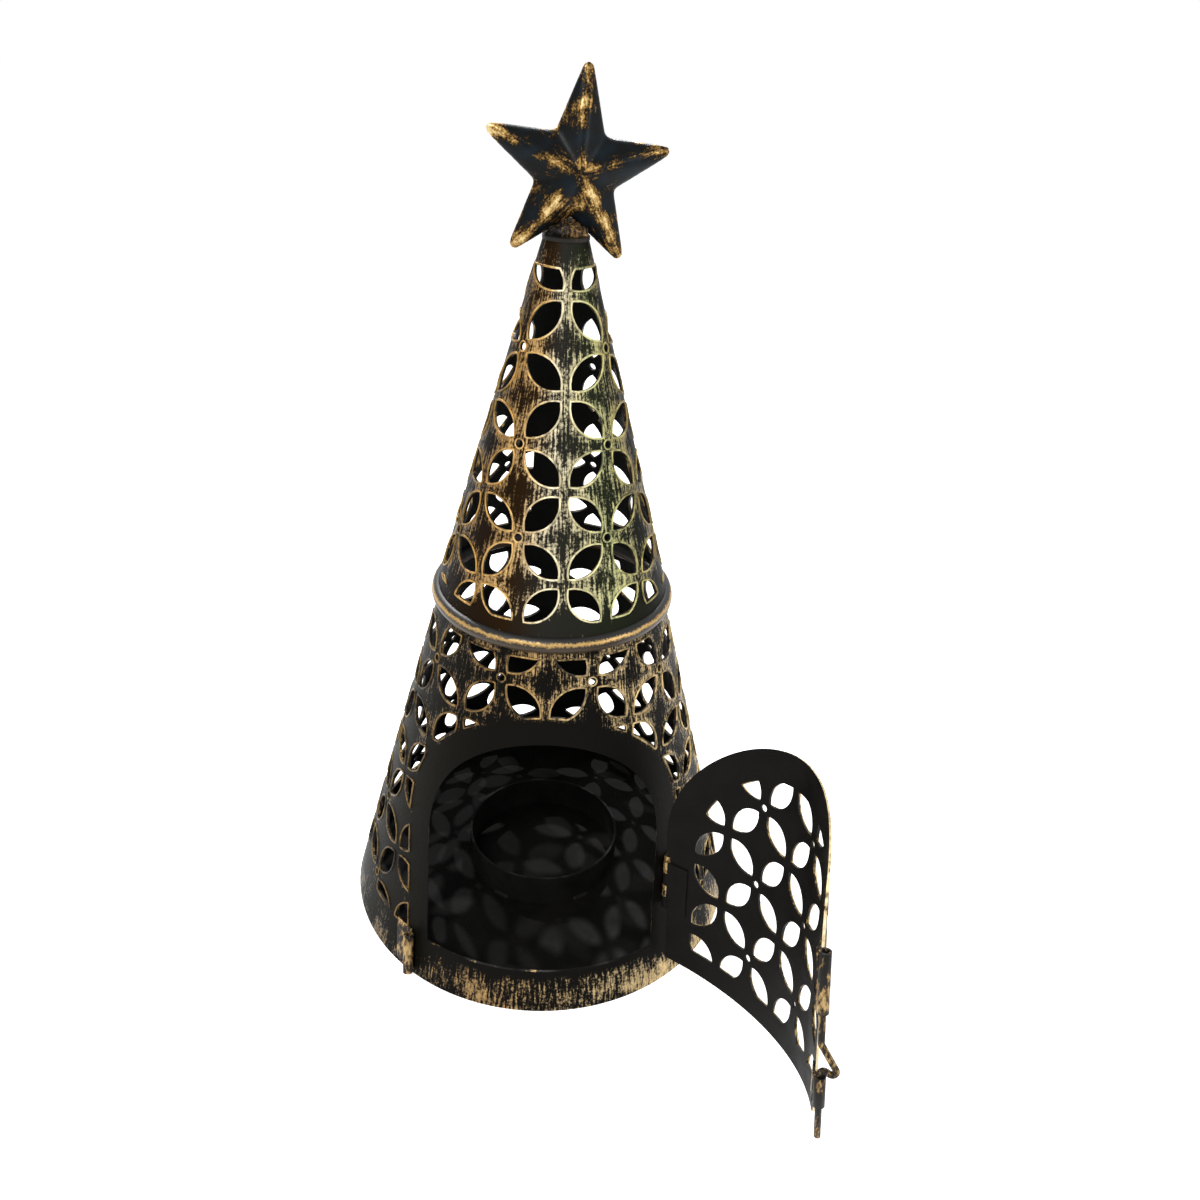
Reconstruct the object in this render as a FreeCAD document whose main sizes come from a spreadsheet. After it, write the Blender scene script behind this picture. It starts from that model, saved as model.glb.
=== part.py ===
import FreeCAD
import Part
import Sketcher
import math
import os

# Punched tin lantern: two pierced cones on a hoop of wire, a five-point star on top, and an
# arched door on a leaning hinge, held shut by a wire bolt that drops into a keeper.
# Frame: +Z up, the origin on the lantern's axis at the level it stands on, the doorway
# facing -Y. The door is drawn swung open with its bolt down, as in the photo.

Vector = FreeCAD.Vector
doc = FreeCAD.newDocument("lantern")
sheet = doc.addObject("Spreadsheet::Sheet", "Sizes")

# Lengths in millimetres, angles in degrees
SIZES = [
    ("gauge", 0.6),
    ("base_radius", 51.2),
    ("waist_height", 91.0),
    ("waist_radius", 27.2),
    ("waist_wire", 4.0),
    ("neck_height", 172.4),
    ("neck_radius", 4.8),
    ("lap_width", 5.0),
    ("floor_height", 4.0),
    ("seat_clearance", 0.05),
    ("overrun", 2.0),

    ("doorway_width", 55.6),
    ("doorway_sill", 10.6),
    ("doorway_spring", 37.7),
    ("doorway_rise", 30.0),
    ("border_width", 5.4),
    ("border_crown", 6.4),

    ("upper_pitch", 20.1),
    ("upper_first_row", 27.7),
    ("upper_turn", 5.4),
    ("upper_plain_foot", 3.0),
    ("upper_plain_neck", 4.9),
    ("lower_pitch", 21.0),
    ("lower_first_row", 124.2),
    ("lower_turn", -1.1),
    ("lower_plain_foot", 10.6),
    ("lower_plain_top", 1.7),
    ("door_pitch", 19.05),
    ("door_first_column", 18.4),
    ("door_first_row", 149.55),
    ("dot_radius", 0.85),
    ("seam_margin", 4.0),

    ("door_gauge", 0.5),
    ("door_gap", 0.8),
    ("door_lap", 2.6),
    ("door_sill_lap", 3.3),
    ("door_crown_lap", 4.2),
    ("door_corner", 3.0),
    ("door_margin", 5.3),
    ("door_crown_margin", 7.0),
    ("door_opening", 113.3),

    ("hinge_beside_door", 3.4),
    ("hinge_height", 26.3),
    ("hinge_stand_off", 1.75),
    ("hinge_lean", 16.4),
    ("hinge_length", 12.4),
    ("hinge_knuckle_radius", 1.1),
    ("hinge_knuckle_gap", 0.2),
    ("hinge_pin_radius", 0.55),
    ("hinge_clearance", 0.06),
    ("hinge_leaf_width", 5.6),
    ("hinge_head_radius", 0.95),
    ("hinge_head_length", 1.5),
    ("leaf_gauge", 0.5),

    ("bolt_beside_door", 4.8),
    ("bolt_low", 6.5),
    ("bolt_high", 40.0),
    ("bolt_stand_off", 1.9),
    ("bolt_radius", 0.7),
    ("bolt_clearance", 0.08),
    ("bolt_foot", 4.9),
    ("bolt_return", 20.0),
    ("bolt_bend", 25.1),
    ("bolt_top", 43.5),
    ("bolt_handle_reach", 4.6),
    ("bolt_handle_drop", 8.4),
    ("bolt_bend_radius", 0.8),
    ("bolt_tip_radius", 0.85),
    ("barrel_wall", 0.45),
    ("barrel_leaf_width", 5.0),
    ("lower_barrel_foot", 11.9),
    ("lower_barrel_length", 6.9),
    ("upper_barrel_foot", 31.8),
    ("upper_barrel_length", 13.4),
    ("keeper_foot", 1.6),
    ("keeper_length", 10.2),
    ("keeper_leaf_width", 5.8),

    ("candle_bore", 39.8),
    ("candle_gauge", 0.6),
    ("candle_height", 8.8),
    ("weld_radius", 0.8),
    ("weld_length", 3.2),

    ("cap_radius", 4.95),
    ("cap_thickness", 0.7),
    ("cap_plug", 1.6),
    ("star_rise", 12.5),
    ("star_offset", 1.5),
    ("star_radius", 19.9),
    ("star_tip_radius", 19.3),
    ("star_notch", 9.2),
    ("star_puff", 4.6),
    ("star_gauge", 0.5),
    ("star_turn", 11.7),
    ("star_lean", 5.1),
    ("star_stem_radius", 1.3),
    ("star_weld_radius", 2.1),
    ("star_weld_height", 1.2),
]

for row, (alias, value) in enumerate(SIZES, start=1):
    sheet.set("A%d" % row, alias)
    sheet.set("B%d" % row, str(value))
    sheet.setAlias("B%d" % row, alias)
doc.recompute()

# A petal's ends and half width, as shares of the lattice pitch
PETAL_START_SHARE = 0.085
PETAL_END_SHARE = 0.60
PETAL_WIDTH_SHARE = 0.135
# Punches clipped to less than this share of a dot's size are left out
CLIPPED_SHARE = 0.9
# Weld tacks round the candle ring and under the floor plate, as shares of a full turn
CANDLE_WELD_SHARES = (-0.087, 0.087, 0.5)
FLOOR_WELD_SHARES = (0.125, 0.375, 0.625, 0.875)
# How far a leaf starts from the middle of its roll, as a share of the roll's radius
LEAF_START_SHARE = 0.3
# The rounding of the hinge pin's head, as a share of the head's length
HEAD_ROUND_SHARE = 0.3
DIAGONAL = math.sqrt(0.5)


def size(alias):
    return float(sheet.get(alias))


def primitive(kind, name, expressions, placement=None):
    item = doc.addObject("Part::" + kind, name)
    for field, expression in expressions.items():
        item.setExpression(field, expression)
    if placement is not None:
        item.Placement = placement
    return item


def formed(name, shape, placement=None):
    item = doc.addObject("Part::Feature", name)
    item.Shape = shape
    if placement is not None:
        item.Placement = placement
    return item


def cut(name, base, tool, placement=None):
    item = doc.addObject("Part::Cut", name)
    item.Base = base
    item.Tool = tool
    if placement is not None:
        item.Placement = placement
    return item


def fused(name, items):
    item = doc.addObject("Part::MultiFuse", name)
    item.Shapes = items
    return item


def common(name, items):
    item = doc.addObject("Part::MultiCommon", name)
    item.Shapes = items
    return item


def outward_at(azimuth):
    """The level direction out from the axis; azimuth 0 is the front, -Y."""
    return Vector(math.sin(azimuth), -math.cos(azimuth), 0)


class Cone:
    """The outer face of a rolled sheet, and the flat blank that it is rolled from."""

    def __init__(self, foot_radius, foot, top_radius, top, turn):
        self.foot_radius = foot_radius
        self.foot = foot
        self.top = top
        self.turn = turn
        self.fall = (foot_radius - top_radius) / (top - foot)
        slant = math.hypot(foot_radius - top_radius, top - foot)
        self.sine = (foot_radius - top_radius) / slant
        self.cosine = (top - foot) / slant
        self.blank_radius = foot_radius / self.sine

    def radius(self, height):
        return self.foot_radius - self.fall * (height - self.foot)

    def height(self, across, down):
        return self.foot + (self.blank_radius - math.hypot(across, down)) * self.cosine

    def normal(self, azimuth):
        return outward_at(azimuth) * self.cosine + Vector(0, 0, self.sine)

    def rolled(self, across, down):
        """Where a point of the blank comes to lie: the point, its normal, and the two
        directions that the blank's own directions take there."""
        bearing = math.atan2(across, down)
        azimuth = math.radians(self.turn) + bearing / self.sine
        distance = math.hypot(across, down)
        level = outward_at(azimuth)
        point = level * (distance * self.sine) + Vector(0, 0, self.height(across, down))
        downhill = level * self.sine - Vector(0, 0, self.cosine)
        sideways = Vector(-level.y, level.x, 0)
        way_across = downhill * math.sin(bearing) + sideways * math.cos(bearing)
        way_down = downhill * math.cos(bearing) - sideways * math.sin(bearing)
        return point, self.normal(azimuth), way_across, way_down


def petal(cone, pitch, across, down, side, rise):
    """A lens-shaped punch on one diagonal of the lattice, square to the sheet."""
    depth = size("overrun")
    half_length = pitch * (PETAL_END_SHARE - PETAL_START_SHARE) / 2
    half_width = pitch * PETAL_WIDTH_SHARE
    point, normal, way_across, way_down = cone.rolled(across, down)
    along = (way_across * side + way_down * rise) * DIAGONAL
    beside = normal.cross(along)
    start = point - along * half_length - normal * depth
    end = point + along * half_length - normal * depth
    left = point + beside * half_width - normal * depth
    right = point - beside * half_width - normal * depth
    outline = Part.Wire([Part.Arc(start, left, end).toShape(),
                         Part.Arc(end, right, start).toShape()])
    return Part.Face(outline).extrude(normal * (depth + depth))


def dot(cone, across, down):
    """A small round punch midway between the flowers."""
    depth = size("overrun")
    point, normal = cone.rolled(across, down)[:2]
    return Part.makeCylinder(size("dot_radius"), depth + depth, point - normal * depth, normal)


def punches(cone, pitch, first_column, first_row, low, high, half_turn):
    """The punches of a lattice of four-petal flowers between two heights of a cone, out to
    half_turn radians each way from the middle of its blank."""
    middle = DIAGONAL * pitch * (PETAL_START_SHARE + PETAL_END_SHARE) / 2
    overlap = pitch * (PETAL_END_SHARE - PETAL_START_SHARE) / 4
    radius = size("dot_radius")
    count = int(cone.blank_radius / pitch) + 1

    def inside(across, down, inset):
        height = cone.height(across, down)
        spare = half_turn * cone.sine - abs(math.atan2(across, down))
        margin = size("seam_margin") + max(inset, 0)
        return spare * math.hypot(across, down) > margin and low + inset < height < high - inset

    solids = []
    for column in range(-count, count + 1):
        for step in range(-count, count + count + 1):
            across = first_column + column * pitch
            down = first_row + step * pitch
            for side in (-1, 1):
                for rise in (-1, 1):
                    spot = (across + side * middle, down + rise * middle)
                    if inside(spot[0], spot[1], -overlap):
                        solids.append(petal(cone, pitch, spot[0], spot[1], side, rise))
            if inside(across + pitch / 2, down + pitch / 2, radius):
                solids.append(dot(cone, across + pitch / 2, down + pitch / 2))
    return Part.makeCompound(solids)


def without_slivers(tools):
    """Leaves out what clipping has made smaller than a dot."""
    least = CLIPPED_SHARE * math.pi * size("dot_radius") ** 2 * size("overrun") * 2
    return Part.makeCompound([solid for solid in tools.Solids if solid.Volume > least])


def arch(half_width, sill, spring, rise, corner=0.0):
    """An arched outline seen from the front, with straight sides and a half-ellipse crown,
    drawn out towards -Y through the front of the lantern."""
    stretch = FreeCAD.Matrix()
    stretch.scale(half_width, 1, rise)
    half_circle = Part.Arc(Vector(1, 0, 0), Vector(0, 0, 1), Vector(-1, 0, 0)).toShape()
    crown = half_circle.transformGeometry(stretch)
    crown.translate(Vector(0, 0, spring))
    left = Vector(-half_width, 0, sill)
    right = Vector(half_width, 0, sill)
    edges = [crown, Part.makeLine(right, Vector(half_width, 0, spring))]
    side_foot = left
    sill_end = left
    if corner > 0:
        sill_end = left + Vector(corner, 0, 0)
        side_foot = left + Vector(0, 0, corner)
        inset = corner * (1 - DIAGONAL)
        bend = Part.Arc(sill_end, left + Vector(inset, 0, inset), side_foot)
        edges.append(bend.toShape())
    edges.append(Part.makeLine(sill_end, right))
    edges.append(Part.makeLine(side_foot, Vector(-half_width, 0, spring)))
    face = Part.Face(Part.Wire(Part.__sortEdges__(edges)))
    return face.extrude(Vector(0, -through, 0))


def slab(low, high):
    return Part.makeBox(through * 2, through * 2, high - low, Vector(-through, -through, low))


def seam_strip(cone, half_width):
    """A box along the back of a cone, over the line where its sheet laps."""
    box = Part.makeBox(half_width * 2, through, cone.top - cone.foot,
                       Vector(-half_width, 0, cone.foot))
    box.rotate(Vector(0, 0, 0), Vector(0, 0, 1), cone.turn)
    return box


def cone_band(cone, low, high, inner, outer):
    """A conical layer between two heights and two distances out from a sheet's outer face."""
    def filled(distance):
        out = distance / cone.cosine
        return Part.makeCone(cone.radius(low) + out, cone.radius(high) + out, high - low,
                             Vector(0, 0, low))
    return filled(outer).cut(filled(inner))


gauge = size("gauge")
overrun = size("overrun")
through = size("base_radius") * 2
shell_waist = size("waist_radius") + gauge / 2
lower_top = size("waist_height") - size("waist_wire") / 2
upper_foot = size("waist_height") + size("waist_wire") / 2
lower_cone = Cone(size("base_radius"), 0.0, shell_waist, lower_top, size("lower_turn"))
upper_cone = Cone(shell_waist, upper_foot, size("neck_radius"), size("neck_height"),
                  size("upper_turn"))
WAIST = "(Sizes.waist_radius + Sizes.gauge / 2)"
LOWER_HEIGHT = "(Sizes.waist_height - Sizes.waist_wire / 2)"
UPPER_FOOT = "(Sizes.waist_height + Sizes.waist_wire / 2)"


def rolled_sheet(name, foot_radius, top_radius, height, cone, foot=None):
    """A conical wall, with the outer end of its sheet lapping over the other at the back."""
    standing = {"Placement.Base.z": foot} if foot else {}
    outside = primitive("Cone", name + "_outside", {
        "Radius1": foot_radius, "Radius2": top_radius, "Height": height, **standing})
    inside = primitive("Cone", name + "_inside", {
        "Radius1": foot_radius + " - Sizes.gauge", "Radius2": top_radius + " - Sizes.gauge",
        "Height": height, **standing})
    wall = cut(name + "_wall", outside, inside)
    lap = cone_band(cone, cone.foot, cone.top, 0.0, gauge)
    lap = formed(name + "_lap", lap.common(seam_strip(cone, size("lap_width") / 2)))
    return fused(name + "_sheet", [wall, lap])


# Lower shell, with its doorway and a plain border round that
lower_sheet = rolled_sheet("lower_shell", "Sizes.base_radius", WAIST, LOWER_HEIGHT, lower_cone)
doorway_half = size("doorway_width") / 2
doorway_spring = size("doorway_spring")
doorway = formed("doorway", arch(doorway_half, size("doorway_sill"), doorway_spring,
                                 size("doorway_rise")))
lower_low = size("lower_plain_foot")
lower_high = lower_top - size("lower_plain_top")
lower_tools = punches(lower_cone, size("lower_pitch"), 0.0, size("lower_first_row"), lower_low,
                      lower_high, math.pi)
border = arch(doorway_half + size("border_width"), -overrun, doorway_spring,
              size("doorway_rise") + size("border_crown"))
lower_tools = lower_tools.cut(border).cut(seam_strip(lower_cone, size("seam_margin")))
lower_tools = without_slivers(lower_tools.common(slab(lower_low, lower_high)))
lower_punches = formed("lower_shell_punches", lower_tools)
lower_blank = cut("lower_shell_with_doorway", lower_sheet, doorway)
lower_shell = cut("lower_shell", lower_blank, lower_punches)

# Upper shell
upper_sheet = rolled_sheet("upper_shell", WAIST, "Sizes.neck_radius",
                           "Sizes.neck_height - " + UPPER_FOOT, upper_cone, UPPER_FOOT)
upper_low = upper_foot + size("upper_plain_foot")
upper_high = size("neck_height") - size("upper_plain_neck")
upper_tools = punches(upper_cone, size("upper_pitch"), 0.0, size("upper_first_row"), upper_low,
                      upper_high, math.pi)
upper_tools = upper_tools.cut(seam_strip(upper_cone, size("seam_margin")))
upper_tools = without_slivers(upper_tools.common(slab(upper_low, upper_high)))
upper_punches = formed("upper_shell_punches", upper_tools)
upper_shell = cut("upper_shell", upper_sheet, upper_punches)

# Hoop of round wire that both shells stand against
waist_ring = primitive("Torus", "waist_ring", {
    "Radius1": "Sizes.waist_radius", "Radius2": "Sizes.waist_wire / 2",
    "Placement.Base.z": "Sizes.waist_height"})

# Floor plate, its edge against the lower shell's inner face
FALL = "((Sizes.base_radius - " + WAIST + ") / " + LOWER_HEIGHT + ")"
SEAT = "Sizes.base_radius - Sizes.gauge - Sizes.seat_clearance - " + FALL
floor_plate = primitive("Cone", "floor_plate", {
    "Radius1": SEAT + " * Sizes.floor_height",
    "Radius2": SEAT + " * (Sizes.floor_height + Sizes.gauge)",
    "Height": "Sizes.gauge", "Placement.Base.z": "Sizes.floor_height"})

# Candle ring: a hoop of strip that stands on the floor plate and holds a tealight
candle_ring = doc.addObject("PartDesign::Body", "candle_ring")
level_plane = [item for item in candle_ring.Origin.OriginFeatures if item.Role == "XY_Plane"][0]
candle_outline = candle_ring.newObject("Sketcher::SketchObject", "candle_ring_outline")
candle_outline.AttachmentSupport = (level_plane, [""])
candle_outline.MapMode = "FlatFace"
candle_radii = ("Sizes.candle_bore / 2", "Sizes.candle_bore / 2 + Sizes.candle_gauge")
for index, radius_text in enumerate(candle_radii):
    candle_outline.addGeometry(Part.Circle(Vector(0, 0, 0), Vector(0, 0, 1),
                                           size("candle_bore")), False)
    candle_outline.addConstraint(Sketcher.Constraint("Coincident", index, 3, -1, 1))
    number = candle_outline.addConstraint(Sketcher.Constraint("Radius", index,
                                                              size("candle_bore")))
    candle_outline.setExpression("Constraints[%d]" % number, radius_text)
candle_strip = candle_ring.newObject("PartDesign::Pad", "candle_ring_strip")
candle_strip.Profile = candle_outline
candle_strip.setExpression("Length", "Sizes.candle_height")
candle_ring.Tip = candle_strip
candle_ring.setExpression("Placement.Base.z", "Sizes.floor_height + Sizes.gauge")


def weld_tack(azimuth, radius, height):
    """A short run of weld metal with round ends, before it is trimmed to its corner."""
    half = size("weld_length") / 2
    level = outward_at(azimuth)
    sideways = Vector(-level.y, level.x, 0)
    middle = level * radius + Vector(0, 0, height)
    rod = Part.makeCylinder(size("weld_radius"), half + half, middle - sideways * half, sideways)
    ends = [Part.makeSphere(size("weld_radius"), middle + sideways * way) for way in (-half, half)]
    return rod.fuse(ends)


floor_top = size("floor_height") + gauge
candle_outer = size("candle_bore") / 2 + size("candle_gauge")
candle_tacks = [weld_tack(share * 2 * math.pi, candle_outer, floor_top)
                for share in CANDLE_WELD_SHARES]
candle_room = slab(floor_top, lower_top)
candle_core = Part.makeCylinder(candle_outer, lower_top)
candle_ring_welds = formed("candle_ring_welds", Part.makeCompound(
    [tack.common(candle_room).cut(candle_core) for tack in candle_tacks]))

shell_inner = lower_cone.radius(size("floor_height")) - gauge
floor_tacks = [weld_tack(share * 2 * math.pi, shell_inner, size("floor_height"))
               for share in FLOOR_WELD_SHARES]
floor_room = Part.makeCone(size("base_radius") - gauge, shell_inner, size("floor_height"))
floor_plate_welds = formed("floor_plate_welds", Part.makeCompound(
    [tack.common(floor_room) for tack in floor_tacks]))

# Cap: a disc on the neck with a plug that locates it inside
cap_disc = primitive("Cylinder", "cap_disc", {
    "Radius": "Sizes.cap_radius", "Height": "Sizes.cap_thickness",
    "Placement.Base.z": "Sizes.neck_height"})
cap_plug = primitive("Cylinder", "cap_plug", {
    "Radius": "Sizes.neck_radius - Sizes.gauge - Sizes.seat_clearance",
    "Height": "Sizes.cap_plug", "Placement.Base.z": "Sizes.neck_height - Sizes.cap_plug"})
top_cap = fused("top_cap", [cap_disc, cap_plug])


# Star: two hollow pressed halves, rim to rim
def star_pyramid(share):
    """A five-armed outline on the XY plane, raised to a point over its middle."""
    rim = []
    for number in range(10):
        radius = size("star_notch") if number % 2 else size("star_radius")
        angle = math.pi * number / 5
        rim.append(Vector(math.sin(angle), math.cos(angle), 0) * (radius * share))
    crown = Vector(0, 0, size("star_puff") * share)
    faces = [Part.Face(Part.makePolygon(rim + rim[:1]))]
    for number in range(10):
        corner = rim[number]
        following = rim[(number + 1) % 10]
        faces.append(Part.Face(Part.makePolygon([corner, following, crown, corner])))
    return Part.Solid(Part.Shell(faces))


def star_half(name, placement):
    raised = formed(name + "_raised", star_pyramid(1))
    rounding = primitive("Cylinder", name + "_rounding", {
        "Radius": "Sizes.star_tip_radius", "Height": "Sizes.star_puff"})
    blank = common(name + "_blank", [raised, rounding])
    hollow = formed(name + "_hollow", star_pyramid(1 - size("star_gauge") / size("star_puff")))
    return cut(name, blank, hollow, placement)


facing = FreeCAD.Rotation(Vector(0, 0, 1), size("star_turn"))
leaning = FreeCAD.Rotation(Vector(0, 1, 0), size("star_lean"))
upright = FreeCAD.Rotation(Vector(1, 0, 0), 90)
about_face = FreeCAD.Placement(Vector(0, 0, 0), FreeCAD.Rotation(Vector(0, 1, 0), 180))
cap_top = size("neck_height") + size("cap_thickness")
star_middle = Vector(size("star_offset"), 0, cap_top + size("star_rise"))
star_place = FreeCAD.Placement(star_middle, facing.multiply(leaning).multiply(upright))
star_front = star_half("star_front", star_place)
star_back = star_half("star_back", star_place.multiply(about_face))


def along(start, direction):
    return FreeCAD.Placement(start, FreeCAD.Rotation(Vector(0, 0, 1), direction))


# Stem: a short post from the cap to the star's lowest notch, in a bead of weld
stem_foot = Vector(0, 0, cap_top)
stem_way = star_place.multVec(Vector(0, -size("star_notch"), 0)) - stem_foot
star_block = star_pyramid(1).fuse(star_pyramid(1).transformed(about_face.Matrix))
star_block = formed("star_block", star_block, star_place)
stem_post = primitive("Cylinder", "stem_post", {"Radius": "Sizes.star_stem_radius"},
                      along(stem_foot, stem_way))
stem_post.Height = stem_way.Length
stem_foot_room = formed("stem_foot_room", slab(cap_top, cap_top + through))
stem_standing = common("stem_standing", [stem_post, stem_foot_room])
star_stem = cut("star_stem", stem_standing, star_block)
star_weld_bead = primitive("Cone", "star_weld_bead", {
    "Radius1": "Sizes.star_weld_radius", "Radius2": "Sizes.star_stem_radius",
    "Height": "Sizes.star_weld_height",
    "Placement.Base.z": "Sizes.neck_height + Sizes.cap_thickness"})
star_weld = cut("star_weld", star_weld_bead, stem_post)


class Roll:
    """A straight line beside the lower shell, about which a leaf's edge is rolled."""

    def __init__(self, point, axis):
        self.point = point
        self.axis = axis
        normal = lower_cone.normal(math.atan2(point.x, -point.y))
        self.outward = (normal - axis * normal.dot(axis)).normalize()
        self.aside = axis.cross(self.outward)

    def at(self, distance):
        return self.point + self.axis * distance

    def at_height(self, height):
        return self.at((height - self.point.z) / self.axis.z)

    def clear(self, point):
        """Distance out from the lower shell's outer face."""
        return (math.hypot(point.x, point.y) - lower_cone.radius(point.z)) * lower_cone.cosine

    def place(self, point):
        turn = FreeCAD.Rotation(self.outward, self.aside, self.axis, "ZXY")
        return FreeCAD.Placement(point, turn)


def beside_shell(reach, height, distance):
    """The point at a given X and height that stands a given distance off the shell's front."""
    radius = lower_cone.radius(height) + distance / lower_cone.cosine
    return Vector(reach, -math.sqrt(radius ** 2 - reach ** 2), height)


def leaf_sheet(roll, start, length, radius, width, inner, side):
    """A leaf of sheet that follows the shell beside a roll, out to a width from its line."""
    top = start + roll.axis * length
    layer = cone_band(lower_cone, start.z, top.z, inner, inner + leaf_gauge)
    edge = LEAF_START_SHARE * radius
    aside = edge if side > 0 else -width
    corner = start - roll.outward * width + roll.aside * aside - roll.axis * width
    window = Part.makeBox(width, width - edge, length + width + width)
    window.Placement = roll.place(corner)
    return layer.common(window)


def rolled_leaf(name, roll, radius_text, bore_text, length_text, starts, leaf, inner, side,
                placement=None):
    """A leaf with tubes rolled from its edge, one from each of the starts; side is +1 where
    the leaf lies towards +X of its tubes."""
    pieces = [formed(name + "_leaf", leaf)]
    bores = []
    for number, start in enumerate(starts, start=1):
        tube = primitive("Cylinder", "%s_tube_%d" % (name, number), {
            "Radius": radius_text, "Height": length_text}, roll.place(start))
        tube.recompute()
        depth = roll.clear(start + roll.axis * (tube.Height.Value / 2)) - inner - leaf_gauge / 2
        web = primitive("Box", "%s_web_%d" % (name, number), {
            "Width": radius_text, "Height": length_text})
        web.recompute()
        corner = start - roll.outward * depth
        if side < 0:
            corner = corner - roll.aside * web.Width.Value
        web.Length = depth - tube.Radius.Value + leaf_gauge
        web.Placement = roll.place(corner)
        bore = primitive("Cylinder", "%s_bore_%d" % (name, number), {
            "Radius": bore_text, "Height": length_text + " + 2 * Sizes.overrun"},
            roll.place(start - roll.axis * overrun))
        pieces += [tube, web]
        bores.append(bore)
    bore = fused(name + "_bores", bores) if len(bores) > 1 else bores[0]
    return cut(name, fused(name + "_rolled", pieces), bore, placement)


# Hinge: its knuckles, counted from the foot, belong by turns to the door and to the shell
leaf_gauge = size("leaf_gauge")
door_inner = size("door_gap")
door_leaf_inner = door_inner - leaf_gauge
hinge_lean = math.radians(size("hinge_lean"))
hinge_axis = Vector(0, math.sin(hinge_lean), math.cos(hinge_lean))
hinge_reach = doorway_half + size("hinge_beside_door")
hinge_middle = beside_shell(hinge_reach, size("hinge_height"), size("hinge_stand_off"))
hinge_length = size("hinge_length")
hinge = Roll(hinge_middle - hinge_axis * (hinge_length / 2), hinge_axis)
opened = FreeCAD.Placement(Vector(0, 0, 0), FreeCAD.Rotation(hinge_axis, size("door_opening")),
                           hinge_middle)
knuckle_gap = size("hinge_knuckle_gap")
knuckle_step = hinge_length / 4
knuckle_starts = [hinge.at(knuckle_step * number + knuckle_gap / 2) for number in range(4)]
notch_radius = size("hinge_knuckle_radius") + knuckle_gap


def hinge_notch(start, length, radius):
    """Room round the hinge's line for knuckles."""
    return Part.makeCylinder(radius, length + knuckle_gap * 2, hinge.at(start - knuckle_gap),
                             hinge_axis)


def hinge_leaf(name, side, first, inner, placement=None):
    leaf = leaf_sheet(hinge, hinge.point, hinge_length, size("hinge_knuckle_radius"),
                      size("hinge_leaf_width"), inner, side)
    for number in range(1 - first, 4, 2):
        leaf = leaf.cut(hinge_notch(knuckle_step * number, knuckle_step, notch_radius))
    return rolled_leaf(name, hinge, "Sizes.hinge_knuckle_radius",
                       "Sizes.hinge_pin_radius + Sizes.hinge_clearance",
                       "Sizes.hinge_length / 4 - Sizes.hinge_knuckle_gap",
                       knuckle_starts[first::2], leaf, inner, side, placement)


hinge_body_leaf = hinge_leaf("hinge_body_leaf", 1, 1, 0.0)
hinge_door_leaf = hinge_leaf("hinge_door_leaf", -1, 0, door_leaf_inner, opened)
pin_shaft = primitive("Cylinder", "hinge_pin_shaft", {
    "Radius": "Sizes.hinge_pin_radius", "Height": "Sizes.hinge_length"}, hinge.place(hinge.point))
pin_head = primitive("Cylinder", "hinge_pin_head", {
    "Radius": "Sizes.hinge_head_radius", "Height": "Sizes.hinge_head_length"},
    hinge.place(hinge.at(hinge_length)))
pin_whole = fused("hinge_pin_whole", [pin_shaft, pin_head])
doc.recompute()
head_top = hinge.at(hinge_length + size("hinge_head_length"))
head_round = size("hinge_head_length") * HEAD_ROUND_SHARE
rim_edges = [number for number, edge in enumerate(pin_whole.Shape.Edges, start=1)
             if edge.Curve.TypeId == "Part::GeomCircle"
             and (edge.Curve.Center - head_top).Length < head_round]
hinge_pin = doc.addObject("Part::Fillet", "hinge_pin")
hinge_pin.Base = pin_whole
hinge_pin.Edges = [(number, head_round, head_round) for number in rim_edges]

# Door: a layer just outside the lower shell, cut to an arch that laps the doorway
door_half = doorway_half + size("door_lap")
door_foot = size("doorway_sill") - size("door_sill_lap")
door_rise = size("doorway_rise") + size("door_crown_lap")
door_crown = doorway_spring + door_rise
door_outer = door_inner + size("door_gauge")
door_layer = formed("door_layer", cone_band(lower_cone, door_foot - overrun,
                                            door_crown + overrun, door_inner, door_outer))
door_outline = formed("door_outline", arch(door_half, door_foot, doorway_spring, door_rise,
                                           size("door_corner")))
door_plain = common("door_plain", [door_layer, door_outline])
door_grow = door_outer / lower_cone.cosine
door_cone = Cone(size("base_radius") + door_grow, 0.0, shell_waist + door_grow, lower_top, 0.0)
door_low = door_foot + size("door_margin")
door_field = arch(door_half - size("door_margin"), door_low, doorway_spring,
                  door_rise - size("door_crown_margin"))
door_first_row = door_cone.blank_radius - lower_cone.blank_radius + size("door_first_row")
door_tools = punches(door_cone, size("door_pitch"), size("door_first_column"), door_first_row,
                     door_low, door_crown, math.pi / 2)
door_tools = without_slivers(door_tools.common(door_field))
door_notch = hinge_notch(0.0, hinge_length + size("hinge_head_length"),
                         notch_radius + knuckle_gap)
door_cuts = formed("door_cuts", Part.makeCompound(door_tools.Solids + [door_notch]))
door_panel = cut("door_panel", door_plain, door_cuts, opened)

# Latch: a wire bolt in two barrels on the door's free edge, and a keeper on the shell
bolt_reach = -(doorway_half + size("bolt_beside_door"))
bolt_line_low = beside_shell(bolt_reach, size("bolt_low"), size("bolt_stand_off"))
bolt_line_high = beside_shell(bolt_reach, size("bolt_high"), size("bolt_stand_off"))
bolt = Roll(bolt_line_low, (bolt_line_high - bolt_line_low).normalize())
BARREL_BORE = "Sizes.bolt_radius + Sizes.bolt_clearance"
barrel_radius = size("bolt_radius") + size("bolt_clearance") + size("barrel_wall")


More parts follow.
